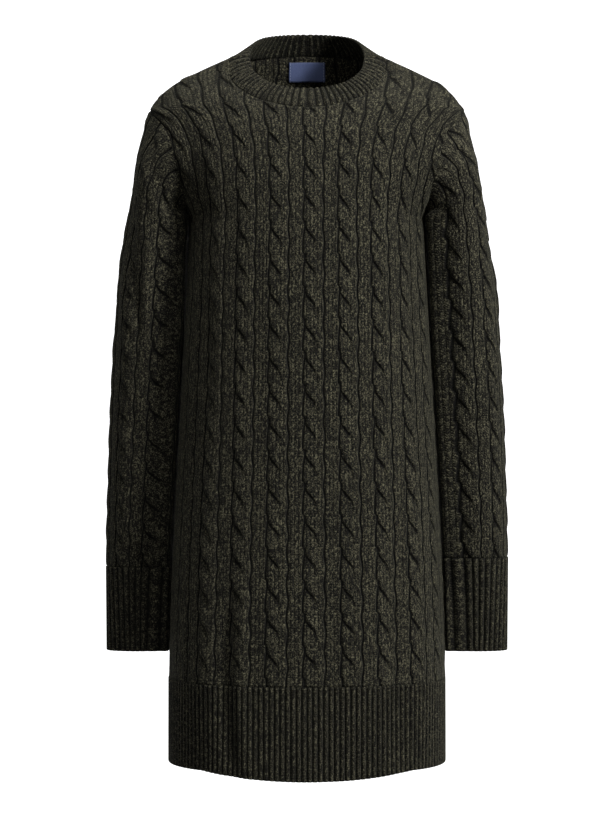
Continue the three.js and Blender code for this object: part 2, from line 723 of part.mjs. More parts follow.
function sleeve(hand, outerEdges, innerEdges) {
  const shell = new Shell();
  const shift = SLEEVE_CABLE_SHIFT[hand];
  const form = new SleeveForm(hand);
  const depths = { outer: CABLE_RISE - PLAIN_RISE, inner: INSIDE_DEPTH };
  const ring = (edges, face) => seamRing(edges, depths[face], SEAM_CLEARANCE[face], armholeNormal,
    vector(form.sign, 0, -1), (surface) => armholeTurn(form, surface));
  const outerLines = [];
  for (let repeat = 0; repeat < SLEEVE_REPEATS; repeat += 1) {
    for (const line of REPEAT_LINES) {
      const u = (repeat + shift + line.u + SLEEVE_REPEATS) % SLEEVE_REPEATS;
      outerLines.push({ u, points: line.points });
    }
  }
  outerLines.sort((a, b) => a.u - b.u);
  const outer = sleeveFace(shell, form, outerLines, ({ u, points }, top) => (
    knitLine(u - shift, points, 0, top, SLEEVE_CROSSING / 2, SLEEVE_CROSSING).map(({ h, rise }) => (
      form.vertex(u, h, CABLE_RISE - rise)))
  ), (u, middle) => strandShift(u - shift, middle - shift, SLEEVE_CROSSING), ring(outerEdges, 'outer'),
  depths.outer, false);
  const innerLines = [];
  for (let u = 0; u < SLEEVE_REPEATS - SAME_LINE; u += 0.5) innerLines.push({ u });
  const inner = sleeveFace(shell, form, innerLines, ({ u }, top) => {
    const count = Math.max(2, Math.round(top / INSIDE_SLEEVE_STEP));
    return Array.from({ length: count - 1 }, (_, i) => {
      const h = (top * (i + 1)) / count;
      return form.vertex(u, h, depths.inner);
    });
  }, () => 0, ring(innerEdges, 'inner'), depths.inner, true);
  shell.fill(outer.bottom, inner.bottom);
  shell.fill(outer.top, inner.top, true);
  return shell.mesh(`sleeve_${hand}`, OLIVE);
}

// Ribbed bands: hem halves, cuffs and neck rib, from a function that gives a point of the surface

function ribbedFace(shell, count, levels, depthOf, surface, isClosed, reversed) {
  const columns = Array.from({ length: count + 1 }, (_, i) => {
    const u = i / count;
    const wrapped = isClosed && i === count ? 0 : i;
    return levels.map((v) => ({ at: surface(wrapped / count, v, depthOf(wrapped)), key: v, u }));
  });
  for (let i = 0; i < count; i += 1) shell.fill(columns[i], columns[i + 1], reversed);
  const along = (list) => list.map(({ at, u }) => ({ at, key: u }));
  return {
    bottom: along(columns.map((column) => column[0])),
    right: columns[count],
    top: along(columns.map((column) => column[levels.length - 1]).reverse()).map(({ at, key }) => (
      { at, key: 1 - key })),
    left: [...columns[0]].reverse(),
  };
}

function ribbedBand(name, ribs, plainCount, levels, wall, groove, surface, isClosed) {
  const shell = new Shell();
  const ribDepth = (i) => (i % 2 === 0 ? 0 : groove);
  const outer = ribbedFace(shell, 2 * ribs, levels, ribDepth, surface, isClosed, false);
  const inner = ribbedFace(shell, plainCount, levels, () => wall, surface, isClosed, true);
  const edges = isClosed ? ['bottom', 'top'] : ['bottom', 'right', 'top', 'left'];
  for (const edge of edges) {
    if (edge === 'bottom' || edge === 'top') shell.fill(outer[edge], inner[edge]);
    else shell.rim(outer[edge], inner[edge]);
  }
  return shell.mesh(name, OLIVE_RIB);
}

function hemHalf(side) {
  const top = HEM_SEAM_Z - SEAM_GAP / 2;
  const name = `hem_rib_${side}`;
  const surfaceAt = (u, v, depth) => {
    const reach = (2 * u - 1) * SIDE_REACH;
    const surface = bodyPoint(side, reach, HEM_SEAM_Z);
    const normal = bodyNormal(side, reach, HEM_SEAM_Z).setZ(0).normalize();
    const at = moved(surface, normal, -depth);
    const lift = HEM_SIDE_LIFT * Math.min(1, (Math.abs(surface.x) / HEM_LIFT_HALF_WIDTH) ** 2);
    at.z = v === 1 ? top : HEM_Z + lift;
    at.y = side === 'front' ? Math.min(at.y, -SEAM_GAP / 2) : Math.max(at.y, SEAM_GAP / 2);
    return at;
  };
  return ribbedBand(name, HEM_RIBS_PER_HALF, HEM_PLAIN_COLUMNS, [0, 1], RIB_WALL, RIB_GROOVE, surfaceAt, false);
}

function cuff(hand) {
  const form = new SleeveForm(hand);
  const top = form.seam - SEAM_GAP / 2;
  const name = `cuff_${hand}`;
  const surfaceAt = (u, v, depth) => {
    const z = CUFF_END_Z + v * (top - CUFF_END_Z);
    const angle = form.angle(u * SLEEVE_REPEATS);
    const at = ringPoint(angle, z);
    const across = ringPoint(angle + PLACE_STEP, z).sub(ringPoint(angle - PLACE_STEP, z)).normalize();
    at.addScaledVector(vector(-across.y, across.x, 0), -depth);
    at.x *= form.sign;
    return at;
  };
  return ribbedBand(name, CUFF_RIBS, CUFF_PLAIN_COLUMNS, [0, 0.5, 1], RIB_WALL, RIB_GROOVE, surfaceAt, true);
}

function aroundNeck(u, halfWidth, front, back) {
  const angle = (u + 0.25) * 2 * Math.PI;
  const power = 2 / ROUNDNESS;
  const sine = Math.sin(angle);
  const x = Math.sign(sine) * halfWidth * Math.abs(sine) ** power;
  const cosine = Math.cos(angle);
  const y = cosine > 0 ? -front * cosine ** power : back * Math.abs(cosine) ** power;
  return { x, y };
}

// The neck seam where the front panel's or the back panel's surface meets the neck's plan
function neckSeamPoint(u) {
  const { x, y } = aroundNeck(u, NECK_HALF_WIDTH, NECK_HALF_DEPTH, NECK_HALF_DEPTH);
  if (y >= 0) return vector(x, y, NECK_POINT_Z + NAPE_LIFT * (y / NECK_HALF_DEPTH) ** 2);
  return vector(x, y, bisect(SHOULDER_Z - NECK_SEARCH_DEPTH, NECK_POINT_Z, (z) => {
    const half = lookup(BODY, 'half', z);
    return Math.abs(x) < half && sectionDepth('front', x, z) > Math.abs(y);
  }));
}

function neckRimPoint(u) {
  const { x, y } = aroundNeck(u, RIM_HALF_WIDTH, RIM_FRONT, RIM_BACK);
  return vector(x, y, lookup(RIM_HEIGHT, 'z', y));
}

function neckBandPoint(u, v, depth) {
  const [seam, rim] = [neckSeamPoint(u), neckRimPoint(u)];
  const band = rim.clone().sub(seam);
  const upward = band.clone().normalize();
  const seamNormal = neckNormal(seam);
  const normal = seamNormal.addScaledVector(upward, -seamNormal.dot(upward)).normalize();
  return moved(moved(seam, band, v), normal, NECK_BAND_CROWN * 4 * v * (1 - v) - depth);
}

function neckRib(outerEdges, innerEdges) {
  const shell = new Shell();
  const ring = (edges, face, depth) => closeRing(seamRing(edges, depth, SEAM_CLEARANCE[face], neckNormal,
    vector(0, 0, 1), neckTurn), 1);
  const levels = [NECK_BAND_START, 0.55, 1];
  const ribDepth = (i) => (i % 2 === 0 ? 0 : NECK_RIB_GROOVE);
  const outer = ribbedFace(shell, 2 * NECK_RIBS, levels, ribDepth, neckBandPoint, true, false);
  const inner = ribbedFace(shell, NECK_PLAIN_COLUMNS, levels, () => NECK_RIB_WALL, neckBandPoint, true, true);
  const outerRing = ring(outerEdges, 'outer', CABLE_RISE - PLAIN_RISE);
  const innerRing = ring(innerEdges, 'inner', INSIDE_DEPTH);
  shell.fill(outer.bottom, outerRing);
  shell.fill(inner.bottom, innerRing, true);
  shell.fill(outerRing, innerRing);
  shell.fill(outer.top, inner.top);
  return shell.mesh('neck_rib', OLIVE_RIB);
}

// Bare label, hung inside the back of the neck from the back panel's own points
function neckLabel() {
  const shell = new Shell();
  const levels = Array.from({ length: LABEL_LEVELS + 1 }, (_, i) => i / LABEL_LEVELS);
  const surface = (u, v, depth) => {
    const x = (1 - 2 * u) * LABEL_HALF_WIDTH;
    const z = NECK_POINT_Z - LABEL_TOP - LABEL_HEIGHT * (1 - v);
    const repeats = bisect(-1.5, 1.5, (at) => -bodyPoint('back', at, z).x < -x);
    const inward = INSIDE_DEPTH + LABEL_OFFSET + LABEL_THICKNESS - depth;
    return moved(bodyPoint('back', repeats, z), bodyNormal('back', repeats, z), -inward);
  };
  const towardsWearer = ribbedFace(shell, LABEL_COLUMNS, levels, () => 0, surface, false, true);
  const towardsCloth = ribbedFace(shell, LABEL_COLUMNS, levels, () => LABEL_THICKNESS, surface, false, false);
  for (const edge of Object.keys(towardsCloth)) shell.rim(towardsCloth[edge], towardsWearer[edge]);
  return shell.mesh('neck_label', NAVY, 0.8);
}

const front = panel('front');
const back = panel('back');
const edgesOf = (face, hand) => (hand === 'left'
  ? [[...front[face].rightArmhole].reverse(), back[face].leftArmhole.slice().reverse()]
  : [front[face].leftArmhole, back[face].rightArmhole]);

const neckEdges = (face) => [front[face].neck, back[face].neck];

const dress = new THREE.Group();
dress.add(front.shell.mesh('front_panel', OLIVE));
dress.add(back.shell.mesh('back_panel', OLIVE));
dress.add(sleeve('left', edgesOf('outer', 'left'), edgesOf('inner', 'left')));
dress.add(sleeve('right', edgesOf('outer', 'right'), edgesOf('inner', 'right')));
for (const hand of ['left', 'right']) dress.add(cuff(hand));
for (const side of ['front', 'back']) dress.add(hemHalf(side));
dress.add(neckRib(neckEdges('outer'), neckEdges('inner')));
dress.add(neckLabel());

export default dress;
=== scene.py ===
# Looks of the knitted sweater dress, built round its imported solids. +Z up, the front faces -Y.
# Lengths are millimetres until a mesh is made, and the scene is in metres.

import math

import bpy
import numpy as np
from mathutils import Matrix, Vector


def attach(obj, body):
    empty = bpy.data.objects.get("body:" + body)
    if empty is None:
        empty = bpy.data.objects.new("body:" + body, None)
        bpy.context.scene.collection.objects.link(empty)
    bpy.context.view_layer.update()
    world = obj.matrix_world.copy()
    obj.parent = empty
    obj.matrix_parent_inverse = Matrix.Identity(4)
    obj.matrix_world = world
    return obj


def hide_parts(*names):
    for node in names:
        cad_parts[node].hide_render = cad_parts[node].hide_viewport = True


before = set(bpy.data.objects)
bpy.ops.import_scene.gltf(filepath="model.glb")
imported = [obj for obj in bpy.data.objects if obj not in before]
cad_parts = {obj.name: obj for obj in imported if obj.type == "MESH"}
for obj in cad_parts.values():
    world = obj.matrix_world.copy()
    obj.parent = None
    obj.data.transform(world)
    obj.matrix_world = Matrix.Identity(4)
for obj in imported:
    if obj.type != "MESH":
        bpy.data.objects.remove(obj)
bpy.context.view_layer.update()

MM = 0.001

# Knit wall, as in the solids
SEAM_GAP = 0.3
CABLE_RISE = 3.6
PLAIN_RISE = 1.6
SEAM_RISE = 2.5
SEAM_FADE = 2.5
INSIDE_DEPTH = 6.0

# Cables: one repeat is a cable and the plain band beside it
CABLE_HALF = 0.29
BODY_CROSSING = 36.7
BODY_CROSSING_START = 9.7
FRONT_SHIFT = 0.18
SLEEVE_CROSSING = 35.5
SLEEVE_REPEATS = 7
SIDE_REACH = 5.5
# The left groove steps in under each hook and swings back; the right one swells beside its end
LEFT_GROOVE, LEFT_STEP, LEFT_RETURN = 0.31, 0.12, 0.36
RIGHT_GROOVE, RIGHT_SWING, RIGHT_BEAT = 0.292, 0.024, 2.2
HOOK_START = 0.03
HOOK_END = 0.05
HOOK_DROP = 0.62
HOOK_BEND = 0.52
HOOK_TAIL = 1.6
STITCHES_PER_REPEAT = 9.5
STITCHES_PER_CROSSING = 12.0
STITCH_HEIGHT = 3.0

# Body levels and the armhole
HEM_SEAM_Z = -725.0
UNDERARM_Z = -191.0
ARM_BEND_Z = -140.0
SHOULDER_Z = -65.0
NECK_POINT_Z = -2.0
ARM_MID_Z = (UNDERARM_Z + SHOULDER_Z) / 2
ARM_HALF_HEIGHT = (SHOULDER_Z - UNDERARM_Z) / 2
ARM_HALF_DEPTH = 65.0
ROUNDNESS = 2.35
NAPE_LIFT = 15.0
NAPE_LIFT_SPAN = 68.0
EDGE_POWER = 4

# Neck
NECK_HALF_WIDTH = 93.0
NECK_HALF_DEPTH = 88.0
RIM_HALF_WIDTH = 67.0
RIM_FRONT = 69.0
RIM_BACK = 70.0
NECK_RIBS = 78
NECK_WALL = 4.2
NECK_GROOVE = 1.8
NECK_CROWN = 1.5

# Hem and cuffs
HEM_Z = -831.5
HEM_SIDE_LIFT = 9.0
HEM_LIFT_HALF_WIDTH = 120.0
HEM_RIBS_PER_HALF = 77
RIB_WALL = 4.4
RIB_GROOVE = 2.0
RIM_ROUNDING = 1.4
SLEEVE_RING_Z = -215.0
SLEEVE_SEAM_Z = {"left": -587.0, "right": -598.0}
CUFF_END_Z = -697.0
CUFF_RIBS = 31

# Label
LABEL_HALF_WIDTH = 22.5
LABEL_TOP = 5.0
LABEL_HEIGHT = 17.0
LABEL_THICKNESS = 0.8
LABEL_OFFSET = 1.0

BODY_ROWS = [
    (-840, 162, 130, 127),
    (-725, 162, 130, 127),
    (-636, 160, 129, 127),
    (-519, 154.5, 127, 126),
    (-402, 148, 126, 124),
    (-285, 142, 128, 124),
    (-230, 140, 127, 123),
    (-192, 138.5, 124, 122),
    (-171, 141, 121, 121),
    (-150, 144, 118, 120),
    (-127, 149, 113, 119),
    (-98, 157, 105, 116),
    (-85, 166, 98, 115),
    (-72, 179, 90, 113),
    (-65, 184, 85, 112),
    (-61, 182, 81, 110),
    (-47, 173, 64, 106),
    (-33, 156.5, 43, 101),
    (-16, 124, 20, 94),
    (-2, 93, 6, 88),
]
REACH_ROWS = [
    (-840, 5.5, 5.5),
    (-191, 5.5, 5.5),
    (-190.9, 5.385, 5.39),
    (-190.5, 5.243, 5.25),
    (-190, 5.14, 5.15),
    (-188, 4.945, 4.965),
    (-185, 4.775, 4.82),
    (-180, 4.59, 4.67),
    (-171, 4.39, 4.56),
    (-160, 4.25, 4.515),
    (-150, 4.18, 4.505),
    (-140, 4.15, 4.5),
    (-65, 4.15, 4.5),
    (-47, 3.75, 4.05),
    (-33, 3.25, 3.65),
    (-16, 2.55, 3.2),
    (-2, 1.9, 2.9),
]
WIDTH_ROWS = [
    (-840, 43.1, 42.7),
    (-725, 43.1, 42.7),
    (-600, 42.3, 42.05),
    (-402, 40.4, 40.1),
    (-285, 39.8, 39.2),
    (-230, 39.3, 38.7),
    (-192, 38.7, 38.4),
    (-140, 39, 37.4),
    (-98, 41.5, 39.5),
    (-65, 46, 46),
    (-47, 47.5, 49),
    (-33, 48.5, 50.5),
    (-16, 49, 50.6),
    (-2, 49.5, 50.5),
]
SLEEVE_ROWS = [
    (-697, 199.6, 25, 36.9, 24),
    (-640, 199.2, 25, 37.8, 31),
    (-598, 198.4, 25, 38.9, 38),
    (-566, 197.7, 24, 39.9, 43),
    (-496, 194.6, 22, 40.8, 48),
    (-402, 190.4, 18, 41.6, 52),
    (-328, 186, 13, 41.5, 55),
    (-285, 183.6, 10, 40.4, 57),
    (-215, 178, 4, 36.5, 60),
]
RIM_ROWS = [(-69, -45), (-43, -27), (-24, -15), (0, 2), (25, 17), (50, 29), (70, 36)]


class Table:
    """Smooth lookup along the first column without overshoot, as the solids are made."""

    STEPS = 4001

    def __init__(self, names, rows):
        data = np.array(sorted(rows), float)
        self.fine = np.linspace(data[0, 0], data[-1, 0], self.STEPS)
        self.columns = {}
        for name, column in zip(names.split(), data.T[1:]):
            self.columns[name] = self.smooth(data[:, 0], column)

    def smooth(self, x, y):
        slope = np.diff(y) / np.diff(x)
        before, after = slope[:-1], slope[1:]
        total = np.where(before + after == 0, 1, before + after)
        inner = np.where(before * after <= 0, 0, 2 * before * after / total)
        tangent = np.concatenate([slope[:1], inner, slope[-1:]])
        i = np.clip(np.searchsorted(x, self.fine, side="right") - 1, 0, len(x) - 2)
        span = x[i + 1] - x[i]
        t = (self.fine - x[i]) / span
        start = (1 + 2 * t) * (1 - t) ** 2 * y[i] + t * (1 - t) ** 2 * span * tangent[i]
        end = t * t * (3 - 2 * t) * y[i + 1] + t * t * (t - 1) * span * tangent[i + 1]
        return start + end

    def __call__(self, name, at):
        return np.interp(at, self.fine, self.columns[name])


BODY = Table("half front back", BODY_ROWS)
REACH = Table("front back", REACH_ROWS)
REPEAT_WIDTH = Table("front back", WIDTH_ROWS)
SLEEVE = Table("x y half_width half_depth", SLEEVE_ROWS)
RIM = Table("z", RIM_ROWS)


def unit(vectors):
    return vectors / np.maximum(np.linalg.norm(vectors, axis=-1, keepdims=True), 1e-9)


def stack(x, y, z):
    return np.stack(np.broadcast_arrays(x, y, z), axis=-1).astype(float)


def smooth_step(low, high, at):
    t = np.clip((at - low) / (high - low), 0, 1)
    return t * t * (3 - 2 * t)


# Body surface, at the crowns of the cables

def armhole_depth(z):
    share = (z - ARM_MID_Z) / ARM_HALF_HEIGHT
    return ARM_HALF_DEPTH * np.sqrt(np.maximum(0, 1 - share * share))


def section_depth(side, x, z):
    depth = BODY(side, z)
    share = np.minimum(np.abs(x) / BODY("half", z), 1) ** ROUNDNESS
    edge = (armhole_depth(z) / depth) ** ROUNDNESS
    return depth * (1 - share * (1 - edge)) ** (1 / ROUNDNESS)


class Section:
    """Points of the body's surface by level and by share of the way round to the side."""

    STEPS, SHARES = 96, 160

    def __init__(self, side):
        close = np.linspace(0, 1, 30) ** 2 * 8
        self.levels = np.unique(np.concatenate([
            np.arange(-726.0, NECK_POINT_Z, 1.5), [NECK_POINT_Z],
            UNDERARM_Z + close, SHOULDER_Z - close, [SHOULDER_Z + 0.01]]))
        turn = np.sin(np.linspace(0, math.pi / 2, self.STEPS + 1))
        z = self.levels[:, None]
        x = BODY("half", z) * turn
        y = section_depth(side, x, z)
        steps = np.hypot(np.diff(x, axis=1), np.diff(y, axis=1))
        length = np.concatenate([np.zeros((len(z), 1)), np.cumsum(steps, axis=1)], axis=1)
        self.half_length = length[:, -1]
        shares = np.linspace(0, 1, self.SHARES + 1)
        self.x = np.stack([np.interp(shares * l[-1], l, row) for l, row in zip(length, x)])
        self.y = np.stack([np.interp(shares * l[-1], l, row) for l, row in zip(length, y)])

    def at(self, share, z):
        z = np.clip(z, self.levels[0], self.levels[-1])
        i = np.clip(np.searchsorted(self.levels, z, side="right") - 1, 0, len(self.levels) - 2)
        a = (z - self.levels[i]) / (self.levels[i + 1] - self.levels[i])
        s = np.clip(share, 0, 1) * self.SHARES
        j = np.minimum(s.astype(int), self.SHARES - 1)
        b = s - j

        def mixed(values):
            low = values[i, j] * (1 - b) + values[i, j + 1] * b
            high = values[i + 1, j] * (1 - b) + values[i + 1, j + 1] * b
            return low * (1 - a) + high * a

        return mixed(self.x), mixed(self.y)


SECTIONS = {side: Section(side) for side in ("front", "back")}


def half_length(side, z):
    return np.interp(z, SECTIONS[side].levels, SECTIONS[side].half_length)


def body_point(side, u, z):
    u, z = np.broadcast_arrays(np.asarray(u, float), np.asarray(z, float))
    reach = REACH(side, z)
    even = REPEAT_WIDTH(side, z) * reach / half_length(side, z)
    near = np.minimum(np.abs(u) / reach, 1)
    x, y = SECTIONS[side].at(near * (even + (1 - even) * near ** EDGE_POWER), z)
    if side == "front":
        return stack(np.sign(u) * x, -y, z)
    fade = np.clip((z - NECK_POINT_Z) / NAPE_LIFT_SPAN + 1, 0, 1)
    lift = NAPE_LIFT * fade * fade * (y / SECTIONS[side].at(u * 0, z)[1]) ** 2
    return stack(-np.sign(u) * x, y, z + lift)


def body_normal(side, u, z):
    u, z = np.broadcast_arrays(np.asarray(u, float), np.asarray(z, float))
    across = np.where(u > 0, -0.02, 0.02)
    up = np.where((np.abs(z - SHOULDER_Z) < 1) | (z < HEM_SEAM_Z + 1), 0.5, -0.5)
    here = body_point(side, u, z)
    right = (body_point(side, u + across, z) - here) * np.sign(across)[..., None]
    above = (body_point(side, u, z + up) - here) * np.sign(up)[..., None]
    return unit(np.cross(right, above))


def armhole_along(point):
    return np.arctan2(-point[..., 1] / ARM_HALF_DEPTH, (point[..., 2] - ARM_MID_Z) / ARM_HALF_HEIGHT)


def armhole_normal(point):
    along = np.abs(armhole_along(point))
    high = (1 + np.cos(along)) / 2
    x = 0.9 * high * np.sign(point[..., 0])
    y = 0.95 * np.sin(along) * np.sign(point[..., 1])
    return unit(stack(x, y, 0.45 * high - (1 - high) ** 2))


def neck_normal(point):
    side = np.minimum(np.abs(point[..., 0]) / NECK_HALF_WIDTH, 1)
    middle = np.sqrt(1 - side * side)
    is_front = point[..., 1] < 0
    across = np.where(is_front, -0.8, 0.9) * middle
    up = np.where(is_front, 0.6 + 0.34 * side, 0.44 + 0.5 * side)
    return unit(stack(0.35 * np.sign(point[..., 0]) * side, across, up))


def armhole_point(along):
    z = ARM_MID_Z + ARM_HALF_HEIGHT * np.cos(along)
    return stack(BODY("half", z), -ARM_HALF_DEPTH * np.sin(along), z)


def around_neck(u, half_width, front, back):
    angle = (u + 0.25) * 2 * math.pi
    power = 2 / ROUNDNESS
    sine, cosine = np.sin(angle), np.cos(angle)
    x = np.sign(sine) * half_width * np.abs(sine) ** power
    y = np.where(cosine > 0, -front, back) * np.abs(cosine) ** power
    return x, y


def bisect(low, high, is_below):
    for _ in range(34):
        middle = (low + high) / 2
        below = is_below(middle)
        low, high = np.where(below, middle, low), np.where(below, high, middle)
    return (low + high) / 2


def neck_seam_point(u):
    x, y = around_neck(u, NECK_HALF_WIDTH, NECK_HALF_DEPTH, NECK_HALF_DEPTH)
    start = np.full(np.shape(u), SHOULDER_Z - 20)
    end = np.full(np.shape(u), NECK_POINT_Z)
    front_z = bisect(start, end, lambda z: (
        (np.abs(x) < BODY("half", z)) & (section_depth("front", x, z) > np.abs(y))))
    back_z = NECK_POINT_Z + NAPE_LIFT * (y / NECK_HALF_DEPTH) ** 2
    return stack(x, y, np.where(y >= 0, back_z, front_z))


def line_top(side, u):
    at = np.abs(u)
    arm, neck = REACH(side, SHOULDER_Z), REACH(side, NECK_POINT_Z)
    low = np.full(at.shape, UNDERARM_Z)
    armhole = bisect(low, np.full(at.shape, ARM_BEND_Z), lambda z: REACH(side, z) > at)
    shoulder = bisect(np.full(at.shape, SHOULDER_Z), np.full(at.shape, NECK_POINT_Z),
                      lambda z: REACH(side, z) > at)
    if side == "back":
        middle = np.full(at.shape, NECK_POINT_Z)
    else:
        def is_outside(z):
            point = body_point(side, u, z)
            across = np.abs(point[..., 0]) / NECK_HALF_WIDTH
            depth = np.abs(point[..., 1]) / NECK_HALF_DEPTH
            return across ** ROUNDNESS + depth ** ROUNDNESS > 1
        middle = bisect(np.full(at.shape, SHOULDER_Z - 20), np.full(at.shape, NECK_POINT_Z), is_outside)
    top = np.where(at > arm + 1e-6, armhole, np.where(at >= neck, shoulder, middle))
    top = np.where(np.abs(at - arm) <= 1e-6, SHOULDER_Z, top)
    return np.where(at >= SIDE_REACH, UNDERARM_Z, top)


# Knit relief

def knit(u, h, crossing):
    """Height over the grooves, and the place in repeats and crossings."""
    across = u - np.round(u)
    turn = h / crossing
    below = HOOK_START - turn
    below = below - np.floor(below)
    left = LEFT_GROOVE - LEFT_STEP * np.exp(-below / LEFT_RETURN) * (1 - np.exp(-below / 0.07))
    right = RIGHT_GROOVE + RIGHT_SWING * np.cos(2 * math.pi * turn - RIGHT_BEAT)
    edge = np.where(across < 0, left, right)
    place = np.clip((across + CABLE_HALF) / (CABLE_HALF + HOOK_END), 0, 1.75)
    phase = turn + HOOK_DROP * place ** HOOK_BEND + HOOK_TAIL * np.maximum(place - 0.8, 0) ** 2
    share = phase - np.floor(phase)
    lip = np.sqrt(np.clip(1 - np.clip((0.16 - share) / 0.16, 0, 1) ** 2, 0, 1))
    strand = lip * (1 - 0.8 * np.clip((share - 0.16) / 0.84, 0, 1) ** 1.7)
    depth = 1 - smooth_step(-0.02, 0.17, across) * 0.86
    strand = strand * depth + 0.78 * (1 - depth)
    inside = np.clip(np.abs(across) / edge, 0, 1)
    round_over = np.sqrt(np.clip(1 - inside ** 3.2, 0, 1))
    cable = round_over * (0.9 + (CABLE_RISE - 0.9) * strand)
    beside = np.clip((np.abs(across) - edge) / 0.045, 0, 1)
    plain = PLAIN_RISE * np.sqrt(np.clip(1 - (1 - beside) ** 2, 0, 1))
    rise = np.where(np.abs(across) < edge, cable, plain)
    return rise, *np.broadcast_arrays(u, turn)


def rib(place):
    """Height of a rib over its groove, from 0 to 1, at a count of ribs."""
    swing = np.abs(np.cos(math.pi * place))
    return smooth_step(0.12, 0.8, swing)


# Columns of one repeat, closer together at the grooves
REPEAT_COLUMNS = [
    -0.42, -0.36, -0.325, -0.305, -0.292, -0.279, -0.262, -0.235, -0.2, -0.165, -0.13, -0.095, -0.06,
    -0.025, 0.01, 0.05, 0.095, 0.14, 0.19, 0.235, 0.265, 0.282, 0.294, 0.307, 0.325, 0.36, 0.42, 0.5,
]


# Soft folds of the cloth: from, to, half-width and depth, seen from the front as x and z
FOLDS = [
    ((-186, -124), (-160, -186), 9, 3.0),
    ((-190, -118), (-164, -200), 10, -3.0),
    ((-205, -150), (-196, -330), 7, 4.2),
    ((-218, -160), (-212, -380), 6, -2.0),
    ((-188, -190), (-184, -350), 7, -2.6),
    ((178, -112), (156, -142), 8, 4.2),
    ((183, -140), (152, -172), 8, 4.6),
    ((196, -168), (154, -204), 9, 4.4),
    ((206, -200), (162, -262), 10, -3.6),
    ((214, -300), (190, -352), 12, 3.4),
    ((205, -420), (178, -470), 13, 3.0),
    ((-206, -420), (-186, -486), 13, 3.0),
    ((212, -520), (182, -560), 11, -2.6),
    ((-214, -540), (-184, -580), 11, -2.4),
    ((-92, -640), (-88, -830), 9, 5.0),
    ((-74, -610), (-70, -830), 8, -3.0),
    ((96, -560), (104, -830), 14, 3.4),
    ((30, -600), (26, -830), 16, 3.0),
    ((-128, -210), (-112, -420), 14, 2.2),
    ((126, -215), (112, -400), 14, 2.4),
    ((-118, -480), (-124, -760), 16, -2.2),
    ((128, -470), (134, -770), 15, -2.4),
    ((-60, -260), (-52, -520), 20, 1.8),
    ((62, -240), (70, -480), 20, 1.8),
]


def fold_depth(point):
    """How far the cloth sinks at a point of the surface, in millimetres."""
    x, z = point[..., 0], point[..., 2]
    x = np.where(point[..., 1] > 0, -x * 0.97, x)
    total = np.zeros(x.shape)
    for (x1, z1), (x2, z2), half, depth in FOLDS:
        run = math.hypot(x2 - x1, z2 - z1)
        along = ((x - x1) * (x2 - x1) + (z - z1) * (z2 - z1)) / run
        aside = ((x - x1) * (z2 - z1) - (z - z1) * (x2 - x1)) / run
        aside = aside + 2.2 * np.sin(along / 34 + x1)
        ends = smooth_step(-0.18 * run, 0.22 * run, along) * (1 - smooth_step(0.78 * run, 1.18 * run, along))
        total += depth * ends * (np.exp(-((aside / half) ** 2)) - 0.35 * np.exp(-((aside / half / 2) ** 2)))
    return total


# Meshes

class Piece:
    """Vertices, faces and stitch places of one piece of cloth."""

    def __init__(self):
        self.points, self.places, self.relief = [], [], []
        self.faces = []
        self.count = 0

    def add(self, points, places=None, relief=None):
        shape = points.shape[:-1]
        size = int(np.prod(shape))
        self.points.append(points.reshape(-1, 3))
        places = np.zeros(shape + (2,)) if places is None else places
        self.places.append(np.asarray(places, float).reshape(-1, 2))
        self.relief.append(np.broadcast_to(PLAIN_RISE if relief is None else relief, shape).reshape(-1))
        ids = np.arange(self.count, self.count + size).reshape(shape)
        self.count += size
        return ids

    def grid(self, ids, flipped=False):
        a, b = ids[:-1, :-1], ids[:-1, 1:]
        c, d = ids[1:, 1:], ids[1:, :-1]
        corners = [a, d, c, b] if flipped else [a, b, c, d]
        self.faces.append(np.stack([corner.ravel() for corner in corners], axis=1))

    def zip(self, outer, inner):
        """Close the wall between two edges that run the same way, the outside on the left."""
        outer, inner = np.asarray(outer), np.asarray(inner)
        points = np.concatenate(self.points)
        keys = []
        for ids in (outer, inner):
            steps = np.linalg.norm(np.diff(points[ids], axis=0), axis=1)
            length = np.concatenate([[0], np.cumsum(steps)])
            keys.append(length / max(length[-1], 1e-9))
        faces = []
        i = j = 0
        while i < len(outer) - 1 or j < len(inner) - 1:
            left_first = j == len(inner) - 1 or (i < len(outer) - 1 and keys[0][i + 1] <= keys[1][j + 1])
            third = outer[i + 1] if left_first else inner[j + 1]
            if third not in (outer[i], inner[j]) and outer[i] != inner[j]:
                faces.append((outer[i], inner[j], third, third))
            if left_first:
                i += 1
            else:
                j += 1
        self.faces.append(np.array(faces))

    def build(self, name, material, node):
        points = np.concatenate(self.points) * MM
        faces = np.concatenate(self.faces)
        is_quad = faces[:, 2] != faces[:, 3]
        corners = np.where(is_quad, 4, 3)
        mesh = bpy.data.meshes.new(name)
        mesh.vertices.add(len(points))
        mesh.vertices.foreach_set("co", points.ravel())
        keep = np.ones(faces.shape, bool)
        keep[~is_quad, 3] = False
        loops = faces[keep]
        mesh.loops.add(len(loops))
        mesh.loops.foreach_set("vertex_index", loops)
        mesh.polygons.add(len(faces))
        mesh.polygons.foreach_set("loop_start", np.concatenate([[0], np.cumsum(corners)[:-1]]))
        mesh.polygons.foreach_set("use_smooth", np.ones(len(faces), bool))
        layer = mesh.uv_layers.new(name="Stitches")
        layer.uv.foreach_set("vector", np.concatenate(self.places)[loops].ravel())
        relief = mesh.attributes.new("relief", "FLOAT", "POINT")
        relief.data.foreach_set("value", np.concatenate(self.relief))
        mesh.update(calc_edges=True)
        mesh.validate()
        mesh.materials.append(material)
        piece = bpy.data.objects.new(name, mesh)
        bpy.context.scene.collection.objects.link(piece)
        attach(piece, "root")
        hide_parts(node)
        return piece


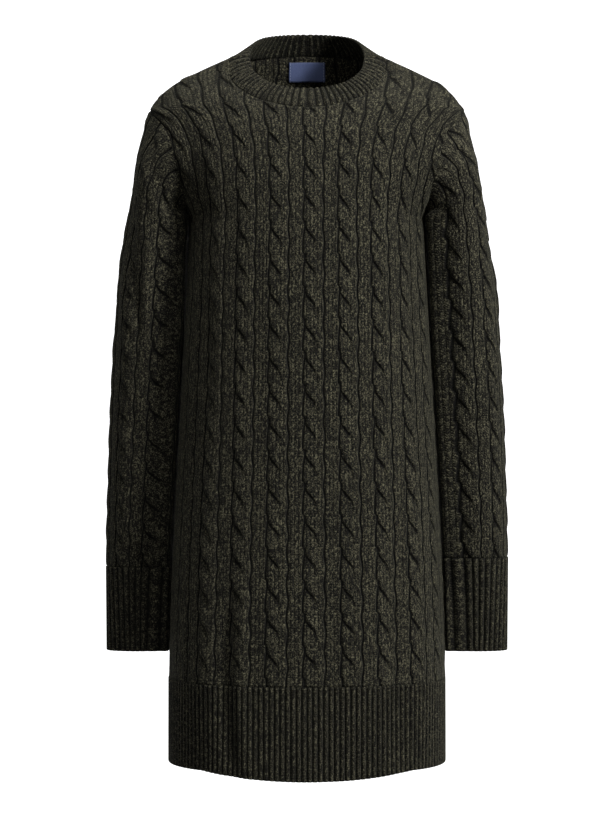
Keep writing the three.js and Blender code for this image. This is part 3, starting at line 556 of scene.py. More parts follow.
def near_curve(points, curve):
    """Distance from each point to a curve of points, and which of them is the nearest."""
    flat = points.reshape(-1, 3)
    best, nearest = np.full(len(flat), 1e9), np.zeros(len(flat), int)
    for i, place in enumerate(curve):
        square = ((flat - place) ** 2).sum(axis=1)
        nearest[square < best] = i
        best = np.minimum(best, square)
    return np.sqrt(best).reshape(points.shape[:-1]), nearest.reshape(points.shape[:-1])


ARM_CURVE = armhole_point(np.linspace(-math.pi, math.pi, 181))
NECK_CURVE = neck_seam_point(np.linspace(0, 1, 181)[:-1])
SEAM_REACH = 14.0
FACING_RISE = 2.6
REST_GAP = 0.8
REST_REACH = 18.0
CAP_PUFF = 1.6
CREASE_REACH = 26.0
CREASE_LIMIT = 6.0
CREASE_LOW_Z = -178.0
BODY_LOW_ROWS = {"outer": 228, "inner": 22}
BODY_TOP_STEPS = {"outer": 3, "inner": 1}
TOP_ROWS, SIDE_TOP_ROWS = 26, 11
DENSE_Z = -195.0


def to_armhole(points):
    mirrored = points * np.array([-1.0, 1.0, 1.0])
    distance = np.full(points.shape[:-1], 1e3)
    close = (points[..., 2] > -230) & (np.abs(points[..., 0]) > 100)
    right_side = np.where(points[..., :1] > 0, points, mirrored)
    distance[close] = near_curve(right_side[close], ARM_CURVE)[0]
    return distance


def to_neck(points):
    distance = np.full(points.shape[:-1], 1e3)
    close = (points[..., 2] > -125) & (np.abs(points[..., 0]) < 125)
    distance[close] = near_curve(points[close], NECK_CURVE)[0]
    return distance


def blend_normals(normals, others, distance):
    weight = (1 - smooth_step(0, SEAM_REACH, distance))[..., None]
    return unit(normals * (1 - weight) + others * weight)


def armhole_lifts():
    """How far the seam moves out along the armhole, so that sleeve and body meet without a crease."""
    curve = ARM_CURVE
    normal = armhole_normal(curve)
    along = unit(np.gradient(curve, axis=0))
    wall = unit(np.cross(along, normal))
    angle = np.linspace(-math.pi, math.pi, len(curve))
    sleeve_step = cap_point(angle, np.full(len(curve), 0.1)) - cap_point(angle, np.zeros(len(curve)))
    z = np.clip(curve[:, 2], UNDERARM_Z + 1, SHOULDER_Z - 1)
    body_walls = []
    for side in ("front", "back"):
        u = (REACH(side, z) - 0.03) * (1 if side == "front" else -1)
        body_walls.append(body_normal(side, u, z))
    body_wall = np.where(curve[:, 1:2] < 0, *body_walls)
    body_step = np.cross(along, body_wall)

    def slope(step):
        aside = (step * wall).sum(axis=1)
        return (step * normal).sum(axis=1) / np.maximum(np.abs(aside), 1e-6), np.sign(aside)

    sleeve_slope, sleeve_side = slope(sleeve_step)
    body_slope, body_side = slope(body_step)
    body_slope = body_slope * np.where(body_side == sleeve_side, -1, 1)
    lift = np.clip(CREASE_REACH * (sleeve_slope + body_slope) / 4, -CREASE_LIMIT, CREASE_LIMIT)
    lift = np.convolve(np.pad(lift, 6, mode="edge"), np.ones(13) / 13, mode="valid")
    return lift * smooth_step(CREASE_LOW_Z, ARM_BEND_Z, curve[:, 2])


def crease_lift(points):
    """Outward move that rounds off the bend between body and sleeve at the armhole seam."""
    lift = np.zeros(points.shape[:-1])
    close = (points[..., 2] > -200) & (np.abs(points[..., 0]) > 100)
    right_side = points * np.where(points[..., :1] > 0, 1.0, [-1.0, 1.0, 1.0])
    distance, nearest = near_curve(right_side[close], ARM_CURVE)
    lift[close] = ARM_LIFTS[nearest] * np.clip(1 - distance / CREASE_REACH, 0, 1) ** 2
    return armhole_normal(points) * lift[..., None]


def facing_rise(rise, facing):
    """Relief where sleeve and body rest against each other: the grooves stay shallow."""
    return rise + (np.maximum(rise, FACING_RISE) - rise) * facing


def body_side_x(y, z):
    """Half-width of the body at a depth, where a sleeve rests against it."""
    depth = np.where(y < 0, BODY("front", z), BODY("back", z))
    share = np.minimum(np.abs(y) / depth, 0.98)
    return BODY("half", z) * (1 - share ** ROUNDNESS) ** (1 / ROUNDNESS)


def at_seam(rise, distance):
    return SEAM_RISE + (rise - SEAM_RISE) * smooth_step(0, SEAM_FADE, distance)


def panel_columns(side, shift, face):
    arm, neck = float(REACH(side, SHOULDER_Z)), float(REACH(side, NECK_POINT_Z))
    special = [-SIDE_REACH, -arm, -neck, neck, arm, SIDE_REACH]
    if face == "outer":
        columns = [repeat + shift + place for repeat in range(-6, 7) for place in REPEAT_COLUMNS]
    else:
        columns = list(np.arange(-5.25, 5.4, 0.25))
    clear = 0.012 if face == "outer" else 0.08
    kept = [u for u in columns if abs(u) < SIDE_REACH and all(abs(u - s) > clear for s in special)]
    return np.array(sorted(kept + special)), arm


def panel_face(piece, side, face, shift):
    """Adds one face of a panel and returns its edges, which run round it to the left of the outside."""
    columns, arm = panel_columns(side, shift, face)
    bottom = HEM_SEAM_Z + SEAM_GAP / 2
    low = np.linspace(bottom, DENSE_Z, BODY_LOW_ROWS[face] + 1)
    steps = BODY_TOP_STEPS[face]

    def block(u, top, rows):
        z = np.repeat(low[:, None], len(u), axis=1)
        share = np.arange(1, rows + 1)[:, None] / rows
        return np.concatenate([z, DENSE_Z + (top - DENSE_Z) * share])

    def surface(u, z, top):
        base = body_point(side, u, z)
        normal = body_normal(side, u, z)
        arm_distance, neck_distance = to_armhole(base), to_neck(base)
        normal = blend_normals(normal, armhole_normal(base), arm_distance)
        normal = blend_normals(normal, neck_normal(base), neck_distance)
        rise, s, t = knit(u - shift, z - HEM_SEAM_Z - BODY_CROSSING_START, BODY_CROSSING)
        to_side = np.where(z < UNDERARM_Z, (SIDE_REACH - np.abs(u)) * 38, 1e3)
        to_top = np.where(np.abs(u) < arm, np.abs(top - z), 1e3)
        edge = np.minimum(np.minimum(arm_distance, neck_distance), np.minimum(to_side, z - bottom))
        rise = facing_rise(rise, (1 - smooth_step(-200, -191, z)) * smooth_step(3.6, 4.4, np.abs(u)))
        rise = at_seam(rise, np.minimum(edge, to_top))
        depth = CABLE_RISE - rise if face == "outer" else INSIDE_DEPTH
        at = base - normal * (depth + fold_depth(base))[..., None] + crease_lift(base)
        y = at[..., 1]
        at[..., 1] = np.minimum(y, -SEAM_GAP / 2) if side == "front" else np.maximum(y, SEAM_GAP / 2)
        return piece.add(at, np.stack([s, t], axis=-1), rise)

    middle_u = columns[np.abs(columns) <= arm + 1e-6]
    middle_top = line_top(side, middle_u)
    u, z = np.broadcast_arrays(middle_u[None, :], block(middle_u, middle_top, TOP_ROWS * steps))
    middle = surface(u, z, middle_top[None, :])
    bend = BODY_LOW_ROWS[face] + SIDE_TOP_ROWS * steps
    sides = {}
    for sign in (-1, 1):
        side_u = columns[columns * sign > arm + 1e-6]
        side_top = line_top(side, side_u)
        u, z = np.broadcast_arrays(side_u[None, :], block(side_u, side_top, SIDE_TOP_ROWS * steps))
        ids = surface(u, z, side_top[None, :])
        if sign > 0:
            sides[sign] = np.concatenate([middle[:bend + 1, -1:], ids], axis=1)
        else:
            sides[sign] = np.concatenate([ids, middle[:bend + 1, :1]], axis=1)
    for ids in (middle, sides[-1], sides[1]):
        piece.grid(ids, face == "inner")
    left, right = sides[-1], sides[1]
    return {
        "bottom": np.concatenate([left[0], middle[0, 1:], right[0, 1:]]),
        "right": right[:, -1],
        "right_armhole": np.concatenate([right[-1, ::-1], middle[bend + 1:, -1]]),
        "top": middle[-1, ::-1],
        "left_armhole": np.concatenate([middle[bend:, 0][::-1], left[-1, :-1][::-1]]),
        "left": left[::-1, 0],
    }


def panel(side, material):
    piece = Piece()
    shift = FRONT_SHIFT if side == "front" else 0.0
    outer = panel_face(piece, side, "outer", shift)
    inner = panel_face(piece, side, "inner", shift)
    for edge, ids in outer.items():
        piece.zip(ids, inner[edge])
    return piece.build(f"knit_{side}", material, f"{side}_panel")


# Sleeves: place 0 is the cuff seam, 1 the ring below the armhole and 2 the armhole

def ring_point(angle, z):
    wide, deep = SLEEVE("half_width", z), SLEEVE("half_depth", z)
    even = angle - (deep - wide) / (deep + wide) / 2 * np.sin(2 * angle)
    return stack(SLEEVE("x", z) + wide * np.cos(even), SLEEVE("y", z) - deep * np.sin(even), z)


def cap_point(angle, share):
    start, end = armhole_point(angle), ring_point(angle, SLEEVE_RING_Z)
    length = np.linalg.norm(end - start, axis=-1, keepdims=True)
    side = np.sin(angle) ** 2
    leave = unit(stack(0.3 + 0.75 * side, -0.2 * np.sin(angle), -1 + 0.7 * side))
    arrive = unit(ring_point(angle, SLEEVE_RING_Z - 10) - end)
    t = share[..., None]
    return (start * (1 + 2 * t) * (1 - t) ** 2 + leave * t * (1 - t) ** 2 * length
            + end * t * t * (3 - 2 * t) + arrive * t * t * (t - 1) * length)


ARM_LIFTS = armhole_lifts()


def rested(base, weight):
    """Points of a sleeve or cuff, moved in where they rest against the side of the body."""
    towards = np.abs(base[..., 0]) - body_side_x(base[..., 1], base[..., 2]) - REST_GAP
    reach = smooth_step(-66, -46, base[..., 1]) * (1 - smooth_step(30, 52, base[..., 1]))
    moved = base.copy()
    moved[..., 0] -= np.sign(base[..., 0]) * np.clip(towards, 0, REST_REACH) * reach * weight
    return moved


def sleeve_face(piece, hand, face, shift):
    sign = 1 if hand == "left" else -1
    seam = SLEEVE_SEAM_Z[hand] + SEAM_GAP / 2
    if face == "outer":
        columns = [(repeat + shift + place) % SLEEVE_REPEATS for repeat in range(SLEEVE_REPEATS)
                   for place in REPEAT_COLUMNS]
        places = np.concatenate([np.linspace(0, 1, 166), np.linspace(1, 1.996, 52)[1:]])
    else:
        columns = list(np.arange(0, SLEEVE_REPEATS, 0.25))
        places = np.concatenate([np.linspace(0, 1, 13), np.linspace(1, 1.996, 10)[1:]])
    u = np.array(sorted(columns))[None, :]
    angle = np.broadcast_to(-sign * u * 2 * math.pi / SLEEVE_REPEATS, (len(places), u.shape[1]))
    place = np.broadcast_to(places[:, None], angle.shape)
    low = ring_point(angle, seam + np.minimum(place, 1) * (SLEEVE_RING_Z - seam))
    base = np.where(place[..., None] <= 1, low, cap_point(angle, np.clip(2 - place, 0, 1)))
    base[..., 0] *= sign
    steps = np.linalg.norm(np.diff(base, axis=0), axis=-1)
    h = np.concatenate([np.zeros((1, base.shape[1])), np.cumsum(steps, axis=0)])
    right = np.roll(base, -1, axis=1) - np.roll(base, 1, axis=1)
    normal = unit(np.cross(right, np.gradient(base, axis=0)))
    arm_distance = to_armhole(base)
    normal = blend_normals(normal, armhole_normal(base), arm_distance)
    rise, s, t = knit(u - shift, h - SLEEVE_CROSSING / 2, SLEEVE_CROSSING)
    inward = smooth_step(0.25, 0.75, -np.cos(angle)) * (1 - smooth_step(-192, -180, base[..., 2]))
    inward = inward * smooth_step(0, 6, arm_distance)
    lift = crease_lift(base)
    base = rested(base, inward)
    rise = facing_rise(rise, inward)
    rise = at_seam(rise, np.minimum(arm_distance, h))
    depth = CABLE_RISE - rise if face == "outer" else INSIDE_DEPTH
    puff = CAP_PUFF * np.exp(-(((arm_distance - 13) / 8) ** 2)) * np.clip(np.cos(angle), 0, 1) ** 2
    at = base - normal * (depth + fold_depth(base) - puff)[..., None] + lift
    ids = piece.add(at, np.stack([s, t], axis=-1), rise)
    ids = np.concatenate([ids, ids[:, :1]], axis=1)
    piece.grid(ids, face == "inner")
    return ids[0], ids[-1]


def sleeve(hand, shift, material):
    piece = Piece()
    outer_bottom, outer_top = sleeve_face(piece, hand, "outer", shift)
    inner_bottom, inner_top = sleeve_face(piece, hand, "inner", shift)
    piece.zip(outer_bottom, inner_bottom)
    piece.zip(outer_top[::-1], inner_top[::-1])
    return piece.build(f"knit_sleeve_{hand}", material, f"sleeve_{hand}")


# Ribbed bands

RIB_COLUMNS = 8


def lip(v, length, end):
    """Extra depth that rounds the free edge of a band of that length."""
    away = np.abs(v - end) * length
    share = np.clip(1 - away / RIM_ROUNDING, 0, 1)
    return RIM_ROUNDING * (1 - np.sqrt(np.clip(1 - share * share, 0, 1)))


def band(name, node, material, ribs, rows, surface, is_closed, wall, groove, length, free_end):
    """A ribbed band. surface gives points and wall directions by the share round and up."""
    piece = Piece()
    edges = {}
    for face in ("outer", "inner"):
        count = ribs * RIB_COLUMNS if face == "outer" else ribs * 2
        u = np.linspace(0, 1, count + 1)[: count if is_closed else count + 1]
        v = rows if face == "outer" else np.linspace(0, 1, 5)
        u, v = np.meshgrid(u, v)
        base, normal = surface(u, v, face)
        height = rib(u * ribs)
        if face == "outer":
            depth = groove * (1 - height) + lip(v, length, free_end)
        else:
            depth = np.full(u.shape, wall) - lip(v, length, free_end) * 0.5
        at = base - normal * (depth + fold_depth(base))[..., None]
        if not is_closed:
            is_front = base[0, base.shape[1] // 2, 1] < 0
            y = at[..., 1]
            at[..., 1] = np.minimum(y, -SEAM_GAP / 2) if is_front else np.maximum(y, SEAM_GAP / 2)
        places = np.stack([u * ribs * 2 + 0.5, v * length / STITCH_HEIGHT], axis=-1)
        ids = piece.add(at, places, height * 2)
        if is_closed:
            ids = np.concatenate([ids, ids[:, :1]], axis=1)
        piece.grid(ids, face == "inner")
        edges[face] = [ids[0], ids[:, -1], ids[-1, ::-1], ids[::-1, 0]]
    for i in (0, 2) if is_closed else range(4):
        piece.zip(edges["outer"][i], edges["inner"][i])
    return piece.build(name, material, node)


def rows_with_lip(count, length, end):
    rows = np.linspace(0, 1, count)
    close = np.array([0.0, 0.15, 0.4, 0.8, 1.4]) / length
    extra = close if end == 0 else 1 - close
    return np.unique(np.round(np.concatenate([rows, extra]), 6))


def hem(side, material):
    top = HEM_SEAM_Z - SEAM_GAP / 2
    length = top - HEM_Z

    def surface(u, v, face):
        reach = (2 * u - 1) * SIDE_REACH
        base = body_point(side, reach, np.full(u.shape, HEM_SEAM_Z))
        normal = body_normal(side, reach, np.full(u.shape, HEM_SEAM_Z))
        normal[..., 2] = 0
        lift = HEM_SIDE_LIFT * np.minimum(1, (base[..., 0] / HEM_LIFT_HALF_WIDTH) ** 2)
        low = HEM_Z + lift
        base[..., 2] = low + v * (top - low)
        return base, unit(normal)

    return band(f"rib_hem_{side}", f"hem_rib_{side}", material, HEM_RIBS_PER_HALF,
                rows_with_lip(34, length, 0), surface, False, RIB_WALL, RIB_GROOVE, length, 0)


def cuff(hand, material):
    sign = 1 if hand == "left" else -1
    top = SLEEVE_SEAM_Z[hand] - SEAM_GAP / 2
    length = top - CUFF_END_Z

    def surface(u, v, face):
        angle = -sign * u * 2 * math.pi
        z = CUFF_END_Z + v * length
        base = ring_point(angle, z)
        across = unit(ring_point(angle + 0.01, z) - ring_point(angle - 0.01, z))
        normal = stack(-across[..., 1], across[..., 0], 0)
        normal[..., 0] *= sign
        base[..., 0] *= sign
        return rested(base, smooth_step(0.25, 0.75, -np.cos(angle))), normal

    return band(f"rib_cuff_{hand}", f"cuff_{hand}", material, CUFF_RIBS,
                rows_with_lip(34, length, 0), surface, True, RIB_WALL, RIB_GROOVE, length, 0)


def neck_band(material):
    length = 34.0

    def surface(u, v, face):
        seam = neck_seam_point(u)
        x, y = around_neck(u, RIM_HALF_WIDTH, RIM_FRONT, RIM_BACK)
        rim = stack(x, y, RIM("z", y))
        v = 0.012 + 0.988 * v
        upward = unit(rim - seam)
        wall = neck_normal(seam)
        square = unit(wall - upward * (wall * upward).sum(axis=-1, keepdims=True))
        start = (1 - smooth_step(0, 0.22, v))[..., None]
        normal = unit(square * (1 - start) + wall * start)
        sink = NECK_CROWN * 4 * v * (1 - v)
        seam_depth = CABLE_RISE - SEAM_RISE if face == "outer" else INSIDE_DEPTH - NECK_WALL
        sink = sink - seam_depth * start[..., 0]
        return seam + (rim - seam) * v[..., None] + normal * sink[..., None], normal

    return band("rib_neck", "neck_rib", material, NECK_RIBS, rows_with_lip(16, length, 1), surface,
                True, NECK_WALL, NECK_GROOVE, length, 1)


def neck_label(material):
    piece = Piece()
    edges = {}
    for face in ("outer", "inner"):
        u, v = np.meshgrid(np.linspace(0, 1, 33), np.linspace(0, 1, 13))
        x = (1 - 2 * u) * LABEL_HALF_WIDTH
        z = NECK_POINT_Z - LABEL_TOP - LABEL_HEIGHT * (1 - v)
        repeats = bisect(np.full(u.shape, -1.5), np.full(u.shape, 1.5),
                         lambda at: -body_point("back", at, z)[..., 0] < -x)
        inward = INSIDE_DEPTH + LABEL_OFFSET + (0 if face == "outer" else LABEL_THICKNESS)
        inward = inward + 0.5 * np.sin(3 * u * math.pi) * (1 - v)
        at = body_point("back", repeats, z) - body_normal("back", repeats, z) * inward[..., None]
        ids = piece.add(at, np.stack([u * LABEL_HALF_WIDTH * 2, v * LABEL_HEIGHT], axis=-1), 2)
        piece.grid(ids, face == "inner")
        edges[face] = [ids[0], ids[:, -1], ids[-1, ::-1], ids[::-1, 0]]
    for outer, inner in zip(edges["outer"], edges["inner"]):
        piece.zip(outer, inner)
    return piece.build("bare_label", material, "neck_label")


# Materials

class Nodes:
    """Short calls for making one material's nodes."""

    def __init__(self, name):
        self.material = bpy.data.materials.new(name)
        self.material.use_nodes = True
        self.tree = self.material.node_tree
        self.shader = self.tree.nodes["Principled BSDF"]

    def node(self, kind, inputs=(), **settings):
        node = self.tree.nodes.new(kind)
        for key, value in settings.items():
            setattr(node, key, value)
        for key, value in dict(inputs).items():
            self.put(value, node.inputs[key])
        return node

    def put(self, value, socket):
        if isinstance(value, bpy.types.NodeSocket):
            self.tree.links.new(value, socket)
        else:
            socket.default_value = value

    def math(self, operation, *values):
        return self.node("ShaderNodeMath", dict(enumerate(values)), operation=operation).outputs[0]

    def mix(self, factor, a, b, blend="MIX"):
        node = self.node("ShaderNodeMix", data_type="RGBA", blend_type=blend)
        self.put(factor, node.inputs[0])
        self.put(a, node.inputs[6])
        self.put(b, node.inputs[7])
        return node.outputs[2]

    def ramp(self, factor, stops):
        node = self.node("ShaderNodeValToRGB", {0: factor})
        elements = node.color_ramp.elements
        while len(elements) < len(stops):
            elements.new(0.5)
        for element, (place, colour) in zip(elements, stops):
            element.position = place
            element.color = colour
        return node.outputs[0]


def srgb(red, green, blue):
    def linear(value):
        value /= 255
        return value / 12.92 if value <= 0.04045 else ((value + 0.055) / 1.055) ** 2.4
    return (linear(red), linear(green), linear(blue), 1.0)


def wool(made, s, t, tones, groove_shade_and_height, bump):
    """Marled wool in stitches: columns of V shapes whose yarn varies from stitch to stitch. The colour carries
    painted shade in the hollows between the legs of each stitch and in the grooves, and the same values drive
    the bump.
    """
    column = made.math("FRACT", s)
    aside = made.math("MULTIPLY", made.math("ABSOLUTE", made.math("SUBTRACT", column, 0.5)), 2.0)
    row = made.math("SUBTRACT", t, made.math("MULTIPLY", aside, 0.6))
    wave = made.math("ABSOLUTE", made.math("SINE", made.math("MULTIPLY", row, math.pi)))
    leg = made.math("SUBTRACT", 1.0, made.math("POWER", aside, 3.0))
    stitch = made.math("MULTIPLY", leg, made.math("MULTIPLY_ADD", wave, 0.55, 0.45))
    cell = made.node("ShaderNodeCombineXYZ", {
        0: made.math("FLOOR", made.math("MULTIPLY", s, 2.0)), 1: made.math("FLOOR", row)}).outputs[0]
    per_stitch = made.node("ShaderNodeTexWhiteNoise", {0: cell}, noise_dimensions="2D").outputs[0]
    place = made.node("ShaderNodeTexCoord").outputs["Object"]
    fibre = made.node("ShaderNodeTexNoise", {"Vector": place, "Scale": FIBRE_SCALE, "Detail": 2.5,
                                             "Roughness": 0.7}).outputs[0]
    cloud = made.node("ShaderNodeTexNoise", {"Vector": place, "Scale": 26.0, "Detail": 2.0}).outputs[0]
    tone = made.math("MULTIPLY_ADD", per_stitch, 0.12, made.math("MULTIPLY", fibre, 0.88))
    colour = made.ramp(tone, tones)
    # Painted shade: the colour darkens in the grooves and between the legs of each stitch, and the cloud noise
    # adds random tone.
    shade = made.math("MULTIPLY", groove_shade_and_height, made.math("MULTIPLY_ADD", stitch, 0.5, 0.58))
    shade = made.math("MULTIPLY", shade, made.math("MULTIPLY_ADD", cloud, 0.24, 0.88))
    grey = made.node("ShaderNodeCombineXYZ", {0: shade, 1: shade, 2: shade}).outputs[0]
    made.put(made.mix(1.0, colour, grey, "MULTIPLY"), made.shader.inputs["Base Color"])
    height = made.math("MULTIPLY_ADD", groove_shade_and_height, 1.6, made.math("MULTIPLY_ADD", fibre, 0.5, stitch))
    made.put(made.node("ShaderNodeBump", {"Strength": bump, "Distance": 0.0011, "Height": height}).outputs[0],
             made.shader.inputs["Normal"])
    for key, value in {"Roughness": 0.95, "Specular IOR Level": 0.15, "Sheen Weight": 0.06,
                       "Sheen Roughness": 0.5}.items():
        made.put(value, made.shader.inputs[key])
    made.put((0.5, 0.5, 0.36, 1), made.shader.inputs["Sheen Tint"])


def stitch_places(made):
    uv = made.node("ShaderNodeUVMap", uv_map="Stitches").outputs[0]
    split = made.node("ShaderNodeSeparateXYZ", {0: uv})
    return split.outputs[0], split.outputs[1]


def cable_material(name, tones, bump):
    """Wool with the fine grooves of the cables painted dark as shade: two borders, and a hook at each crossing,
    with painted shadow beneath each crossing strand.
    """
    made = Nodes(name)
    u, turn = stitch_places(made)
    across = made.math("SUBTRACT", made.math("FRACT", made.math("ADD", u, 0.5)), 0.5)
    below = made.math("FRACT", made.math("SUBTRACT", HOOK_START, turn))
    returned = made.math("EXPONENT", made.math("MULTIPLY", below, -1 / LEFT_RETURN))
    stepped = made.math("SUBTRACT", 1.0, made.math("EXPONENT", made.math("MULTIPLY", below, -1 / 0.07)))
    step = made.math("MULTIPLY", made.math("MULTIPLY", returned, stepped), -LEFT_STEP)
    swell = made.math("COSINE", made.math("MULTIPLY_ADD", turn, 2 * math.pi, -RIGHT_BEAT))

    def line(distance, core, soft):
        inputs = {0: made.math("ABSOLUTE", distance), 1: core, 2: soft, 3: 1.0, 4: 0.0}
        return made.node("ShaderNodeMapRange", inputs, interpolation_type="SMOOTHSTEP").outputs[0]

    # Each border is a thin line of painted shade down a groove beside the cable.
    def border(sign, edge, strength):
        distance = made.math("SUBTRACT", made.math("MULTIPLY", across, sign), edge)
        return made.math("MULTIPLY", line(distance, 0.012, GROOVE_WIDTH), strength)

    left = border(-1.0, made.math("ADD", step, LEFT_GROOVE), 0.96)
    right = border(1.0, made.math("MULTIPLY_ADD", swell, RIGHT_SWING, RIGHT_GROOVE), 0.93)
    place = made.math("MULTIPLY", made.math("ADD", across, CABLE_HALF), 1 / (CABLE_HALF + HOOK_END))
    bend = made.math("POWER", made.math("MAXIMUM", place, 0.0), HOOK_BEND)
    tail = made.math("POWER", made.math("MAXIMUM", made.math("SUBTRACT", place, 0.8), 0.0), 2.0)
    phase = made.math("MULTIPLY_ADD", bend, HOOK_DROP, made.math("MULTIPLY_ADD", tail, HOOK_TAIL, turn))
    off = made.math("SUBTRACT", made.math("FRACT", made.math("ADD", phase, 0.5 - HOOK_START)), 0.5)
    # Painted shade along the edge where each crossing strand hooks over.
    hook = line(off, 0.02, 0.085)
    fade = made.node("ShaderNodeMapRange", {0: place, 1: 0.75, 2: 1.25, 3: 1.0, 4: 0.0}).outputs[0]
    started = made.math("GREATER_THAN", place, 0.0)
    hook = made.math("MULTIPLY", made.math("MULTIPLY", hook, fade), made.math("MULTIPLY", started, 0.92))
    # Painted shadow beneath the crossing strand, growing darker up to the hook.
    under = made.node("ShaderNodeMapRange", {0: off, 1: -0.16, 2: 0.0, 3: 0.0, 4: 0.34},
                      interpolation_type="SMOOTHSTEP").outputs[0]
    is_before = made.math("LESS_THAN", off, 0.0)
    under = made.math("MULTIPLY", made.math("MULTIPLY", under, is_before), made.math("MULTIPLY", fade, started))
    # All the painted shade and shadow of the cable, taken off the wool's colour.
    dark = made.math("MAXIMUM", made.math("MAXIMUM", left, right), made.math("MAXIMUM", hook, under))
    groove_shade_and_height = made.math("SUBTRACT", 1.0, dark)
    wool(made, made.math("MULTIPLY", u, STITCHES_PER_REPEAT), made.math("MULTIPLY", turn, STITCHES_PER_CROSSING),
         tones, groove_shade_and_height, bump)
    return made.material


def rib_material(name, tones, bump):
    made = Nodes(name)
    s, t = stitch_places(made)
    relief = made.node("ShaderNodeAttribute", attribute_name="relief").outputs["Fac"]
    # Painted shade in the grooves between the ribs: the lower the relief, the darker the wool.
    groove_shade_and_height = made.node("ShaderNodeMapRange", {0: relief, 1: 0.15, 2: 1.7, 3: 0.12, 4: 1.0}).outputs[0]
    wool(made, s, t, tones, groove_shade_and_height, bump)
    return made.material


def label_material():
    made = Nodes("woven_navy")
    uv = made.node("ShaderNodeUVMap", uv_map="Stitches").outputs[0]
    split = made.node("ShaderNodeSeparateXYZ", {0: uv})
    across = made.math("SINE", made.math("MULTIPLY", split.outputs[0], 9.0))
    along = made.math("SINE", made.math("MULTIPLY", split.outputs[1], 12.0))
    weave = made.math("MULTIPLY_ADD", made.math("MULTIPLY", across, along), 0.5, 0.5)
    noise = made.node("ShaderNodeTexNoise", {"Vector": uv, "Scale": 1.4, "Detail": 3.0}).outputs[0]
    factor = made.math("MULTIPLY_ADD", noise, 0.5, made.math("MULTIPLY", weave, 0.5))
    cloth = made.ramp(factor, [(0.2, srgb(46, 57, 94)), (0.8, srgb(88, 101, 140))])
    from_end = made.math("SUBTRACT", LABEL_HALF_WIDTH,
                         made.math("ABSOLUTE", made.math("SUBTRACT", split.outputs[0], LABEL_HALF_WIDTH)))
    from_long = made.math("SUBTRACT", LABEL_HEIGHT / 2,
                          made.math("ABSOLUTE", made.math("SUBTRACT", split.outputs[1], LABEL_HEIGHT / 2)))
    nearest = made.math("MINIMUM", from_end, from_long)
    # Painted shade along the label's folded edges, darkest right at the edge.
    painted_fold_shade = made.node("ShaderNodeMapRange", {0: nearest, 1: 0.2, 2: 1.1, 3: 0.45, 4: 1.0}).outputs[0]
    grey = made.node("ShaderNodeCombineXYZ", {0: painted_fold_shade, 1: painted_fold_shade, 2: painted_fold_shade}).outputs[0]
    cloth = made.mix(1.0, cloth, grey, "MULTIPLY")
    on_line = made.math("LESS_THAN", made.math("ABSOLUTE", made.math("SUBTRACT", from_end, 1.9)), 0.28)
    on_dash = made.math("LESS_THAN", made.math("FRACT", made.math("DIVIDE", split.outputs[1], 2.4)), 0.62)
    stitch = made.math("MULTIPLY", on_line, on_dash)
    made.put(made.mix(stitch, cloth, srgb(138, 146, 170)), made.shader.inputs["Base Color"])
    made.put(made.node("ShaderNodeBump", {"Strength": 0.5, "Distance": 0.0003, "Height": weave}).outputs[0],
             made.shader.inputs["Normal"])
    for key, value in {"Roughness": 0.6, "Sheen Weight": 0.1, "Specular IOR Level": 0.4}.items():
        made.put(value, made.shader.inputs[key])
    return made.material


def plain_material(name, colour, glow):
    made = Nodes(name)
    noise = made.node("ShaderNodeTexNoise", {"Scale": 3.0}).outputs[0]
    shade = made.ramp(noise, [(0.0, colour), (1.0, tuple(c * 0.995 for c in colour[:3]) + (1,))])
    made.put(shade, made.shader.inputs["Base Color"])
    made.put(1.0, made.shader.inputs["Roughness"])
    made.put((1, 1, 1, 1), made.shader.inputs["Emission Color"])
    made.put(glow, made.shader.inputs["Emission Strength"])
    return made.material


FIBRE_SCALE = 760.0
GROOVE_WIDTH = 0.045
KNIT_TONES = [
    (0.38, srgb(6, 5, 4)),
    (0.46, srgb(16, 15, 12)),
    (0.53, srgb(34, 33, 26)),
    (0.63, srgb(92, 89, 71)),
]
cable_knit = cable_material("marled_cable_knit", KNIT_TONES, 0.8)
rib_knit = rib_material("marled_rib_knit", KNIT_TONES, 0.8)

pieces = {
    "front": panel("front", cable_knit),
    "back": panel("back", cable_knit),
    "sleeve_left": sleeve("left", 0.1, cable_knit),
    "sleeve_right": sleeve("right", 0.2, cable_knit),
    "cuff_left": cuff("left", rib_knit),
    "cuff_right": cuff("right", rib_knit),
    "hem_front": hem("front", rib_knit),
    "hem_back": hem("back", rib_knit),
    "neck": neck_band(rib_knit),
    "label": neck_label(label_material()),
}

# Floor, backdrop, light and camera

CAMERA = (0.0, -3.0, -0.413)
FOCAL_PIXELS = 2564.0
FRAME_HEIGHT = 818
SENSOR = 36.0


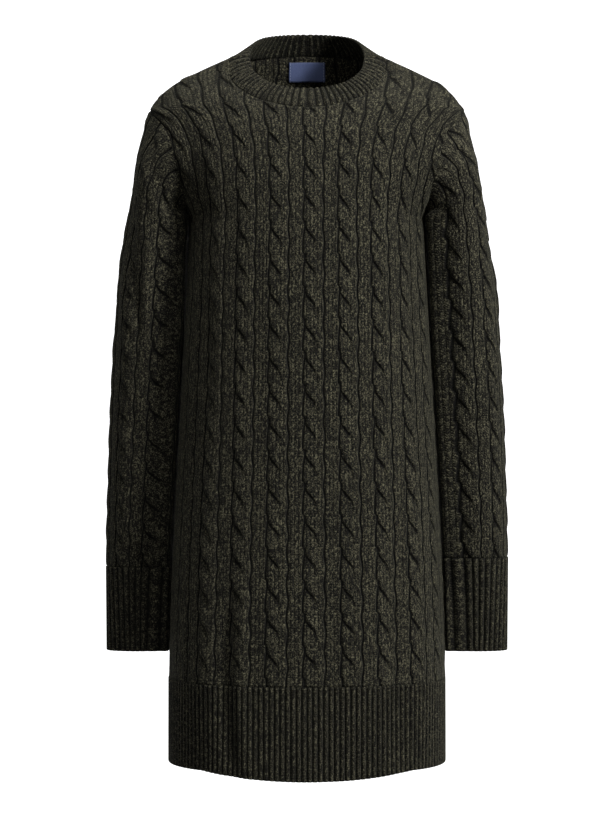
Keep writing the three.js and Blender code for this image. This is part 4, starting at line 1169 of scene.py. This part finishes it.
def backdrop():
    """A pale floor that curves up behind, well below the hem and beyond the cameras of all views."""
    half, near, far, floor_z, top, bend = 2.4, 0.9, 6.5, -1.5, 1.9, 2.2
    profile = [(near, floor_z)]
    for i in range(13):
        angle = i / 12 * math.pi / 2
        profile.append((far - bend + bend * math.sin(angle), floor_z + bend - bend * math.cos(angle)))
    profile.append((far, top))
    points = [(x, y, z) for y, z in profile for x in (-half, half)]
    faces = [(2 * i, 2 * i + 1, 2 * i + 3, 2 * i + 2) for i in range(len(profile) - 1)]
    mesh = bpy.data.meshes.new("floor")
    mesh.from_pydata(points, [], faces)
    mesh.polygons.foreach_set("use_smooth", [True] * len(faces))
    mesh.materials.append(plain_material("pale_floor", (0.92, 0.92, 0.92, 1), 0.8))
    floor = bpy.data.objects.new("floor", mesh)
    bpy.context.scene.collection.objects.link(floor)


def area_light(name, place, target, size, watts):
    light = bpy.data.lights.new(name, "AREA")
    light.size = size
    light.energy = watts
    lamp = bpy.data.objects.new(name, light)
    lamp.location = place
    lamp.rotation_mode = "QUATERNION"
    lamp.rotation_quaternion = (Vector(target) - Vector(place)).to_track_quat("-Z", "Y")
    bpy.context.scene.collection.objects.link(lamp)


backdrop()
area_light("key", (2.7, -2.3, 1.2), (0, 0, -0.35), 0.8, 178)
area_light("fill", (-2.0, -2.6, 0.4), (0, 0, -0.4), 1.6, 2)
area_light("top", (0.2, -0.9, 2.2), (0, 0.05, -0.1), 1.2, 46)
world = bpy.data.worlds.new("studio")
world.use_nodes = True
world.node_tree.nodes["Background"].inputs["Color"].default_value = (1, 1, 1, 1)
world.node_tree.nodes["Background"].inputs["Strength"].default_value = 0.22
bpy.context.scene.world = world
bpy.context.scene.view_settings.view_transform = "Standard"

camera_data = bpy.data.cameras.new("camera")
camera_data.sensor_width = SENSOR
camera_data.lens = FOCAL_PIXELS * SENSOR / FRAME_HEIGHT
camera = bpy.data.objects.new("camera", camera_data)
camera.location = CAMERA
camera.rotation_euler = (math.pi / 2, 0, 0)
bpy.context.scene.collection.objects.link(camera)
bpy.context.scene.camera = camera
